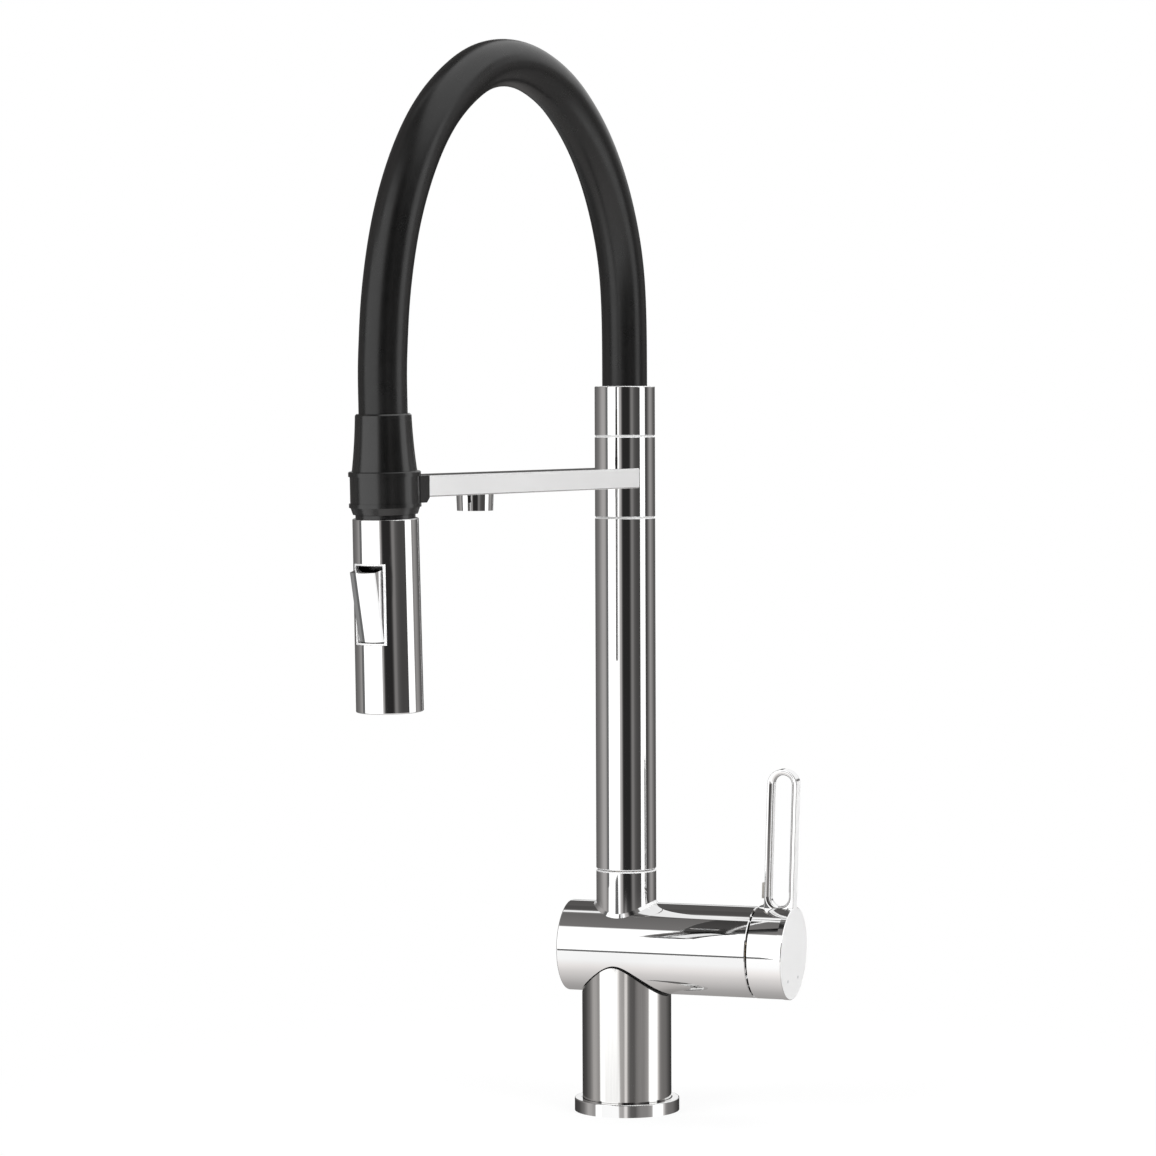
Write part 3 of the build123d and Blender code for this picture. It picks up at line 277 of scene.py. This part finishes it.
def brushed(name):
    """Tube polished up and down, with fine upright grain, and painted shade in the groove under the barrel.
    """
    material, tree, shader = new_material(name)
    grain = noise(tree, 3200, 3, (1, 1, 0.01), 0.65)
    coarse = noise(tree, 900, 2, (1, 1, 0.015))
    tone = ramp(tree, [(0.3, (0.74, 0.735, 0.725)), (0.7, (0.82, 0.815, 0.805))], grain)
    place = tree.nodes.new("ShaderNodeTexCoord").outputs["Object"]
    flat = tree.nodes.new("ShaderNodeVectorMath")
    flat.operation = "MULTIPLY"
    flat.inputs[1].default_value = (1, 1, 0)
    join(tree, place, flat.inputs[0])
    # Painted shade: nearer the axis than the groove's bed the tube turns dark grey, not metal, and rougher
    groove_shade = map_range(tree, length(tree, flat.outputs[0]), 1, 0, *GROOVE_SHADE_RADII)
    dark = (*grey(GROOVE_SHADE_GREY), 1)
    join(tree, blend_colours(tree, groove_shade, tone.outputs["Color"], dark), shader.inputs["Base Color"])
    join(tree, math(tree, "SUBTRACT", 1, groove_shade), shader.inputs["Metallic"])
    rough = map_range(tree, coarse, 0.03, 0.06, 0.3, 0.7)
    join(tree, mixed(tree, groove_shade, rough, 0.5), shader.inputs["Roughness"])
    bump(tree, shader, grain, 0.05, 0.00003)
    return material


def satin_black(name, colour=0.003, rough=(0.21, 0.26)):
    """Moulded black plastic with a fine spark-eroded grain."""
    material, tree, shader = new_material(name, Specular_IOR_Level=0.68)
    tone = ramp(tree, [(0.35, grey(colour)), (0.65, grey(colour * 1.5))], noise(tree, 90, 4))
    join(tree, tone.outputs["Color"], shader.inputs["Base Color"])
    join(tree, map_range(tree, noise(tree, 1400, 3), *rough, 0.3, 0.7), shader.inputs["Roughness"])
    bump(tree, shader, noise(tree, 2600, 2), 0.015, 0.00003)
    return material


def silicone(name):
    """Matt sleeve of the hose: fine surface grain and faint dust."""
    material, tree, shader = new_material(name, Specular_IOR_Level=0.5)
    dust = noise(tree, 260, 6, (1, 1, 1), 0.7)
    tone = ramp(tree, [(0.35, grey(0.003)), (0.62, grey(0.0038)), (0.8, grey(0.006))], dust)
    join(tree, tone.outputs["Color"], shader.inputs["Base Color"])
    join(tree, map_range(tree, noise(tree, 120, 4), 0.26, 0.32, 0.3, 0.7), shader.inputs["Roughness"])
    bump(tree, shader, noise(tree, 1800, 3), 0.04, 0.00003)
    return material


def plain(name, colour, rough=(0.3, 0.45), metallic=0.0, grain=900, depth=0.06):
    """Mostly inner pieces: a base colour with slight tone, roughness and grain."""
    material, tree, shader = new_material(name, Metallic=metallic)
    low, high = [c * 0.92 for c in colour], [min(1, c * 1.06) for c in colour]
    tone = ramp(tree, [(0.35, low), (0.65, high)], noise(tree, 120, 4))
    join(tree, tone.outputs["Color"], shader.inputs["Base Color"])
    join(tree, map_range(tree, noise(tree, 500, 3), *rough, 0.3, 0.7), shader.inputs["Roughness"])
    bump(tree, shader, noise(tree, grain, 2), depth, 0.00004)
    return material


chrome_plate = chrome("chrome")[0]
# The arm's underside carries painted shade
chrome_arm = satin_faced("chrome_arm", ((1, 0, 0), (-1, 0, 0)), 0.84, shaded_axis=(0, 0, -1))
chrome_lever = satin_faced("chrome_lever", ((1, 0, 0),))
chrome_riser = satin_faced("chrome_riser", ((0, 0, 1),), 0.82, BEVEL_FACE)
brushed_steel = brushed("brushed_column")
satin_frame = plain("satin_frame", (0.92, 0.92, 0.92), (0.28, 0.36), 0.2, 1400, 0.02)
black_plastic = satin_black("black_plastic")
hose_black = silicone("hose_silicone")
brass = plain("brass", (0.72, 0.5, 0.22), (0.24, 0.36), 1.0)
steel = plain("steel", (0.58, 0.58, 0.58), (0.2, 0.32), 1.0)
rubber = plain("rubber", (0.02, 0.02, 0.02), (0.55, 0.7))
white_plastic = plain("white_plastic", (0.8, 0.8, 0.78), (0.35, 0.5))
grey_plastic = plain("grey_plastic", (0.35, 0.36, 0.37), (0.4, 0.55))
ceramic = plain("ceramic", (0.86, 0.86, 0.84), (0.1, 0.2))
braid = plain("inner_hose", (0.6, 0.6, 0.62), (0.35, 0.5))
bumper_rubber = plain("bumper", (0.4, 0.38, 0.35), (0.4, 0.55))
mark_grey = plain("mark", (0.42, 0.42, 0.43), (0.35, 0.5))
face_rubber = plain("spray_rubber", (0.055, 0.055, 0.058), (0.5, 0.65))

BY_NODE = {
    chrome_plate: ("base_flange", "mixer_body", "end_cap", "filter_button", "arm_outlet_housing",
                   "handset_shell", "rocker", "spray_ring"),
    satin_frame: ("toggle_frame",),
    chrome_riser: ("riser_socket", "riser_tube", "arm_collar", "riser_top"),
    chrome_arm: ("spout_arm",),
    chrome_lever: ("lever_handle",),
    brushed_steel: ("column_tube",),
    black_plastic: ("dock_bracket", "hose_cone", "dock_ring", "handset_core"),
    brass: ("base_manifold", "spout_spigot", "filter_valve", "cartridge_nut", "lever_stem", "swivel_bush",
            "mixed_water_tube", "collar_manifold", "hose_ferrule", "hose_end_fitting"),
    steel: ("supply_tubes", "filtered_supply_tube", "spigot_clip", "button_spring", "lever_set_screw",
            "filtered_water_tube", "arm_screws", "arm_water_tube", "dock_magnet", "dock_plate", "hose_spring",
            "rocker_pin"),
    rubber: ("deck_seal", "spigot_o_rings", "cartridge_seals", "hose_sleeve"),
    white_plastic: ("cartridge_housing", "cartridge_rotor", "check_valve"),
    grey_plastic: ("screw_plug", "arm_aerator", "diverter_spool", "handset_aerator"),
    ceramic: ("ceramic_fixed_disc", "ceramic_moving_disc"),
    braid: ("inner_hose",),
    bumper_rubber: ("lever_bumper",),
    mark_grey: ("temperature_marks",),
    face_rubber: ("spray_face",),
}
for material, names in BY_NODE.items():
    for name in names:
        slots = nodes[name].data.materials
        if not len(slots):
            slots.append(material)
        for index in range(len(slots)):
            slots[index] = material


# The hose: its black sleeve, the coil spring inside it and the inner tube, all drawn along one line
def hose_route():
    """Points along the hose's middle, from inside the riser's top to inside the dock head."""
    route = [
        (0, 0.3455), (0, 0.366), (0, 0.385), (0.0005, 0.400), (0.0017, 0.4148),
        (0.0047, 0.4296), (0.0098, 0.4443), (0.0165, 0.4588), (0.0255, 0.4731), (0.0374, 0.4872),
        (0.0542, 0.5009), (0.0679, 0.5082), (0.0856, 0.5142), (0.1031, 0.5161), (0.1204, 0.5144),
        (0.1374, 0.5091), (0.1603, 0.4948), (0.1748, 0.4802), (0.1849, 0.466), (0.1927, 0.452),
        (0.1987, 0.4381), (0.203, 0.4244), (0.2062, 0.4107), (0.2085, 0.397), (0.2096, 0.3834),
    ]
    points = [spout_point(along, 0, height) for along, height in route]
    for rise in HOSE_HELD:
        points.append(spout_point(REACH + rise * sin(DOCK_LEAN), 0, DOCK_HEIGHT + rise * cos(DOCK_LEAN)))
    return points


def smooth_line(points, count):
    """Evenly spaced points on a smooth curve near the given ones."""
    curve = bpy.data.curves.new("route", "CURVE")
    curve.dimensions = "3D"
    spline = curve.splines.new("NURBS")
    spline.points.add(len(points) - 1)
    for point, place in zip(spline.points, points):
        point.co = (*place, 1)
    spline.order_u, spline.use_endpoint_u, spline.resolution_u = 4, True, 24
    holder = bpy.data.objects.new("route", curve)
    bpy.context.scene.collection.objects.link(holder)
    bpy.context.view_layer.update()
    mesh = bpy.data.meshes.new_from_object(holder)
    line = [vertex.co.copy() for vertex in mesh.vertices]
    bpy.data.objects.remove(holder)
    lengths = [0.0]
    for a, b in zip(line, line[1:]):
        lengths.append(lengths[-1] + (b - a).length)
    even, index = [], 0
    for number in range(count):
        want = lengths[-1] * number / (count - 1)
        while index < len(line) - 2 and lengths[index + 1] < want:
            index += 1
        share = (want - lengths[index]) / max(lengths[index + 1] - lengths[index], 1e-9)
        even.append(line[index].lerp(line[index + 1], min(share, 1)))
    return even


def tube_mesh(name, line, radius, sides, inner=None):
    """A tube round a line of points, with a wall and open ends when inner is given."""
    bm = bmesh.new()
    side = Vector((cos(SPOUT_TURN), sin(SPOUT_TURN), 0))
    layers = []
    for skin in ([radius] if inner is None else [radius, inner]):
        rings = []
        for number, place in enumerate(line):
            ahead = (line[min(number + 1, len(line) - 1)] - line[max(number - 1, 0)]).normalized()
            out = ahead.cross(side).normalized()
            ring = []
            for step in range(sides):
                angle = 2 * pi * step / sides
                ring.append(bm.verts.new(place + side * (skin * cos(angle)) + out * (skin * sin(angle))))
            rings.append(ring)
        layers.append(rings)
    for turned, rings in enumerate(layers):
        for a, b in zip(rings, rings[1:]):
            for step in range(sides):
                after = (step + 1) % sides
                corners = (a[step], a[after], b[after], b[step])
                bm.faces.new(corners if not turned else corners[::-1])
    if inner is not None:
        for end in (0, -1):
            for step in range(sides):
                after = (step + 1) % sides
                bm.faces.new((layers[0][end][step], layers[0][end][after], layers[1][end][after],
                              layers[1][end][step]))
    bmesh.ops.recalc_face_normals(bm, faces=bm.faces)
    mesh = bpy.data.meshes.new(name)
    bm.to_mesh(mesh)
    bm.free()
    for polygon in mesh.polygons:
        polygon.use_smooth = True
    piece = bpy.data.objects.new(name, mesh)
    bpy.context.scene.collection.objects.link(piece)
    return piece


def coil_line(line, radius, turns, steps):
    """Points of a helix wound round a line."""
    side = Vector((cos(SPOUT_TURN), sin(SPOUT_TURN), 0))
    wound, last = [], len(line) - 1
    for number in range(turns * steps + 1):
        place = last * number / (turns * steps)
        index = min(int(place), last - 1)
        middle = line[index].lerp(line[index + 1], place - index)
        out = (line[index + 1] - line[index]).normalized().cross(side).normalized()
        angle = 2 * pi * number / steps
        wound.append(middle + side * (radius * cos(angle)) + out * (radius * sin(angle)))
    return wound


def hose_piece(piece, material, replaced):
    """Gives a piece of the hose its material, hides the part it replaces and bakes its place into its mesh.
    """
    piece.data.materials.append(material)
    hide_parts(replaced)
    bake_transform(piece)


hose_line = smooth_line(hose_route(), count=320)
sleeve = tube_mesh("hose_black_sleeve", hose_line, HOSE_RADIUS, sides=64, inner=HOSE_RADIUS - HOSE_WALL)
hose_piece(sleeve, hose_black, "hose_sleeve")
coil_middle = coil_line(hose_line, COIL_RADIUS, COIL_TURNS, steps=20)
coil = tube_mesh("hose_coil_spring", coil_middle, COIL_WIRE, sides=8)
hose_piece(coil, steel, "hose_spring")
inner_bore = INNER_HOSE_RADIUS - INNER_HOSE_WALL
inner = tube_mesh("hose_inner_tube", hose_line, INNER_HOSE_RADIUS, sides=32, inner=inner_bore)
hose_piece(inner, braid, "inner_hose")


# Floor, backdrop and lights
# Slight warmth of the studio's greys
STUDIO_TINT = (1.0, 0.965, 0.95)


def profile(tree, angle, stops, tint=STUDIO_TINT):
    """Brightness by an angle in radians. Stops give degrees and brightness, which the ramp holds at half."""
    share = math(tree, "MULTIPLY_ADD", angle, 1 / (2 * pi), 0.5)
    colours = []
    for degrees, level in stops:
        shade = [level / 2 * part for part in tint] if level < 1 else grey(level / 2)
        colours.append((degrees / 360 + 0.5, shade))
    return ramp(tree, colours, share).outputs["Color"]


# The studio round the tap: degrees round from the camera's side and brightness, first down to the angles
# below the horizon in LOW_RISE and then under them
WHITE = 1.4
SIDES = [
    (-180, 0.1), (-150, 0.14), (-136, 0.17), (-122, 0.21), (-108, 0.33), (-100, 0.42), (-92, 0.45),
    (-84, 0.42), (-79, 0.28), (-73, 0.16), (-70, WHITE), (-25, WHITE), (-22, 0.6), (-15, 0.4),
    (-12, 0.09), (-8, 0.026), (14, 0.024), (18, 0.05), (24, 0.22), (29, 0.22), (35, 0.12), (42, 0.085),
    (50, 0.07), (92, 0.075), (100, 0.2), (109, 0.36), (118, 0.36), (136, 0.13), (171, 0.08),
]
SIDES_LOW = [
    (-171, 0.05), (-150, 0.055), (-131, 0.075), (-111, 0.18), (-103, 0.3), (-95, 0.46), (-86, 0.44),
    (-79, 0.36), (-75, 0.36), (-72, WHITE), (-27, WHITE), (-22, 0.9), (-18, 0.5), (-8, 0.42),
    (-5, 0.85), (-1, 0.85), (2, 0.3), (7.7, 0.13), (18, 0.11), (24, 0.2), (30, 0.26), (45, 0.27),
    (56, 0.4), (61, WHITE), (84, WHITE), (88, 0.75), (95, 0.3), (102, 0.21), (120, 0.18), (135, 0.1),
    (150, 0.055), (171, 0.05),
]
LOW_RISE = (-7.0, -7.9)

# Ceiling and floor: degrees over the top from the tap's front and brightness
CEILING = [
    (-180, 0.3), (0, 0.22), (60, 0.2), (93, 0.16), (98, 0.2), (100, 1.1), (104, 1.1), (107, 0.15),
    (112, 0.09), (130, 0.09), (144, 0.22), (180, 0.3),
]
FLOOR = [
    (-180, 0.3), (-128, 0.4), (-110, 0.46), (-85, 0.63), (-65, 0.78), (-47, 0.98), (-30, 1.12),
    (0, 1.16), (180, 0.3),
]
CEILING_RISE = (48, 51)

# Where the floor begins: degrees round and shares of FLOOR_DROP degrees below the horizon
FLOOR_EDGE = [
    (-180, 0.8), (-64, 0.8), (-58, 0.5), (-20, 0.5), (-8, 0.78), (180, 0.8),
]
FLOOR_DROP = 17
FLOOR_EDGE_SOFT = 1.2

# Patches of one brightness on the studio's walls and floor: degrees round and degrees up, each from, to and
# how softly it ends. The backdrop's are counted from straight behind the tap
BEHIND, BEHIND_LEVEL = ((118, 172, 4), (9, 60, 3)), 1.0
BACKDROP, BACKDROP_LEVEL = ((-8, 8, 2), (6.5, 16, 1.5)), 1.0
FLAG, FLAG_LEVEL = ((-170, -87, 1.5), (-42, -14, 2)), 0.28

# A round softbox above: degrees round and up of its middle, and half its angle with and without its soft edge
OVERHEAD, OVERHEAD_LEVEL = (100, 62), 1.2
OVERHEAD_CONE = (39, 36)

# What lights the dull surfaces evenly from all round
WORLD_GREY, WORLD_STRENGTH = 0.8, 0.6

# Upright cards near the tap: the near and far edge, each as metres from its axis towards the camera's side
# and to the right of it, the lower and upper edge above the deck, and brightness
CARDS = {
    "right_softbox": ((0.43, 0.72), (0.068, 0.456), -0.15, 0.75, WHITE),
    "left_softbox": ((0.595, -0.2525), (0.187, -0.4635), 0.055, 0.58, WHITE),
    "left_softbox_frame": ((0.187, -0.4635), (0.11, -0.477), 0.055, 0.58, 0.16),
}
TABLE_EDGE = [(-0.42, -0.99, 0.001), (-0.22, -0.99, 0.001), (-0.07, -0.53, 0.001), (-0.25, -0.53, 0.001)]
TABLE_EDGE_LEVEL = 0.16

# The floor that the tap stands on: half its side, its grey, its share of white of its own under the tap and
# further out, and the distances between which that share changes
FLOOR_REACH = 1.6
FLOOR_GREY = 0.9
FLOOR_WHITE = (0.85, 1.0)
FLOOR_FADE = (0.08, 0.35)


def towards(around, rise):
    """A direction by degrees round from the camera's side, to the picture's right, and degrees up."""
    turned = CAMERA_AZIMUTH + radians(around)
    flat = cos(radians(rise))
    return (flat * sin(turned), -flat * cos(turned), sin(radians(rise)))


def within(tree, angle, low, high, soft):
    """1 between two angles in degrees, fading to 0 over the soft width."""
    rising = map_range(tree, angle, 0, 1, radians(low - soft), radians(low))
    return math(tree, "MULTIPLY", rising, map_range(tree, angle, 1, 0, radians(high), radians(high + soft)))


def patched(tree, colour, around, rise, spans, level):
    """The colour with a patch of one brightness laid over some degrees round and up."""
    inside = math(tree, "MULTIPLY", within(tree, around, *spans[0]), within(tree, rise, *spans[1]))
    return blend_colours(tree, inside, colour, (*grey(level / 2), 1))


def studio_colour(tree):
    """Studio with softboxes left and right, dark cards between them and a pale floor, at half level."""
    ahead = (sin(CAMERA_AZIMUTH), -cos(CAMERA_AZIMUTH), 0)
    side = (cos(CAMERA_AZIMUTH), sin(CAMERA_AZIMUTH), 0)
    direction = tree.nodes.new("ShaderNodeTexCoord").outputs["Generated"]
    height = dot(tree, direction, (0, 0, 1))
    front = dot(tree, direction, (0, -1, 0))
    around = math(tree, "ARCTAN2", dot(tree, direction, side), dot(tree, direction, ahead))
    turned = math(tree, "ARCTAN2", dot(tree, direction, tuple(-part for part in side)),
                  dot(tree, direction, tuple(-part for part in ahead)))
    over = math(tree, "ARCTAN2", height, front)
    rise = math(tree, "ARCSINE", height)
    colour = blend_colours(tree, map_range(tree, rise, 0, 1, *(radians(part) for part in LOW_RISE)),
                           profile(tree, around, SIDES), profile(tree, around, SIDES_LOW))
    colour = blend_colours(tree, map_range(tree, rise, 0, 1, *(radians(part) for part in CEILING_RISE)),
                           colour, profile(tree, over, CEILING))
    colour = patched(tree, colour, around, rise, BEHIND, BEHIND_LEVEL)
    colour = patched(tree, colour, turned, rise, BACKDROP, BACKDROP_LEVEL)
    lamp = map_range(tree, dot(tree, direction, towards(*OVERHEAD)), 0, 1,
                     *(cos(radians(part)) for part in OVERHEAD_CONE))
    colour = blend_colours(tree, lamp, colour, (*grey(OVERHEAD_LEVEL / 2), 1))
    edge = math(tree, "MULTIPLY", profile(tree, around, FLOOR_EDGE, (1, 1, 1)), radians(-2 * FLOOR_DROP))
    below = math(tree, "SUBTRACT", edge, rise)
    colour = blend_colours(tree, map_range(tree, below, 0, 1, 0, radians(FLOOR_EDGE_SOFT)), colour,
                           profile(tree, over, FLOOR))
    return patched(tree, colour, around, rise, FLAG, FLAG_LEVEL)


def seen_directly(tree):
    """1 for the camera's rays and those that metal and glass send on, else 0; then for the camera's."""
    path = tree.nodes.new("ShaderNodeLightPath")
    mirrored = math(tree, "MAXIMUM", path.outputs["Is Glossy Ray"], path.outputs["Is Transmission Ray"])
    return math(tree, "MAXIMUM", path.outputs["Is Camera Ray"], mirrored), path.outputs["Is Camera Ray"]


def make_world():
    world = bpy.data.worlds.new("world")
    bpy.context.scene.world = world
    world.use_nodes = True
    tree = world.node_tree
    fill = tree.nodes["Background"]
    fill.inputs["Color"].default_value = (*grey(WORLD_GREY), 1)
    fill.inputs["Strength"].default_value = WORLD_STRENGTH
    shown = tree.nodes.new("ShaderNodeBackground")
    direct, camera = seen_directly(tree)
    doubled = tree.nodes.new("ShaderNodeVectorMath")
    doubled.operation = "SCALE"
    doubled.inputs["Scale"].default_value = 2
    join(tree, studio_colour(tree), doubled.inputs[0])
    join(tree, blend_colours(tree, camera, doubled.outputs[0], (1.0, 1.0, 1.0, 1.0)), shown.inputs["Color"])
    mix = tree.nodes.new("ShaderNodeMixShader")
    join(tree, direct, mix.inputs[0])
    join(tree, fill.outputs[0], mix.inputs[1])
    join(tree, shown.outputs[0], mix.inputs[2])
    join(tree, mix.outputs[0], tree.nodes["World Output"].inputs["Surface"])


def card(name, corners, level):
    """A flat card that only polished and satin surfaces see."""
    material = bpy.data.materials.new(name)
    material.use_nodes = True
    tree = material.node_tree
    glow = tree.nodes.new("ShaderNodeEmission")
    glow.inputs["Color"].default_value = (1, 1, 1, 1)
    glow.inputs["Strength"].default_value = level
    join(tree, glow.outputs[0], tree.nodes["Material Output"].inputs["Surface"])
    mesh = bpy.data.meshes.new(name)
    mesh.from_pydata(corners, [], [(0, 1, 2, 3)])
    mesh.materials.append(material)
    made = bpy.data.objects.new(name, mesh)
    bpy.context.scene.collection.objects.link(made)
    made.visible_camera = made.visible_diffuse = made.visible_shadow = made.visible_transmission = False


def card_point(ahead, side, height):
    """A point given towards the photograph's camera side, to the right of that and above the deck."""
    x = ahead * sin(CAMERA_AZIMUTH) + side * cos(CAMERA_AZIMUTH)
    return (x, side * sin(CAMERA_AZIMUTH) - ahead * cos(CAMERA_AZIMUTH), height)


def make_cards():
    """The softboxes near the tap, the left one with its frame, and the dark front edge of the table."""
    for name, (near, far, low, high, level) in CARDS.items():
        corners = ((near, low), (far, low), (far, high), (near, high))
        card(name, [card_point(*edge, height) for edge, height in corners], level)
    card("table_edge", TABLE_EDGE, TABLE_EDGE_LEVEL)


def make_floor():
    """Pale floor: mostly its own white where it is seen directly, with the shadow of the lamps on it."""
    material = bpy.data.materials.new("floor")
    material.use_nodes = True
    tree = material.node_tree
    shader = tree.nodes["Principled BSDF"]
    shader.inputs["Base Color"].default_value = (*grey(FLOOR_GREY), 1)
    shader.inputs["Roughness"].default_value = 0.9
    shader.inputs["Specular IOR Level"].default_value = 0.0
    glow = tree.nodes.new("ShaderNodeEmission")
    glow.inputs["Color"].default_value = (1, 1, 1, 1)
    glow.inputs["Strength"].default_value = 1
    mix = tree.nodes.new("ShaderNodeMixShader")
    direct = seen_directly(tree)[0]
    out = length(tree, tree.nodes.new("ShaderNodeTexCoord").outputs["Object"])
    share = map_range(tree, out, *FLOOR_WHITE, *FLOOR_FADE)
    join(tree, math(tree, "MULTIPLY", direct, share), mix.inputs[0])
    join(tree, shader.outputs[0], mix.inputs[1])
    join(tree, glow.outputs[0], mix.inputs[2])
    join(tree, mix.outputs[0], tree.nodes["Material Output"].inputs["Surface"])
    corners = [(x * FLOOR_REACH, y * FLOOR_REACH, 0) for x, y in ((-1, -1), (1, -1), (1, 1), (-1, 1))]
    mesh = bpy.data.meshes.new("floor")
    mesh.from_pydata(corners, [], [(0, 1, 2, 3)])
    mesh.materials.append(material)
    floor = bpy.data.objects.new("floor", mesh)
    bpy.context.scene.collection.objects.link(floor)
    floor.visible_glossy = False


def area_light(name, place, target, size, size_y, energy):
    """A rectangular lamp turned towards a target, which mirrors don't show."""
    data = bpy.data.lights.new(name, "AREA")
    data.shape, data.size, data.size_y, data.energy = "RECTANGLE", size, size_y, energy
    lamp = bpy.data.objects.new(name, data)
    lamp.location = place
    lamp.rotation_mode = "QUATERNION"
    lamp.rotation_quaternion = (Vector(target) - Vector(place)).to_track_quat("-Z", "Y")
    lamp.visible_glossy = False
    bpy.context.scene.collection.objects.link(lamp)


area_light("key", (-1.1, -1.6, 1.9), (0, -0.05, 0.25), size=1.4, size_y=1.4, energy=34)
area_light("fill", (1.7, -0.9, 1.3), (0, -0.05, 0.25), size=1.2, size_y=1.6, energy=30)
area_light("overhead", (0.1, 0.5, 2.1), (0, -0.05, 0.1), size=1.6, size_y=1.0, energy=14)
make_floor()
make_cards()
make_world()
bpy.context.scene.view_settings.view_transform = "Standard"
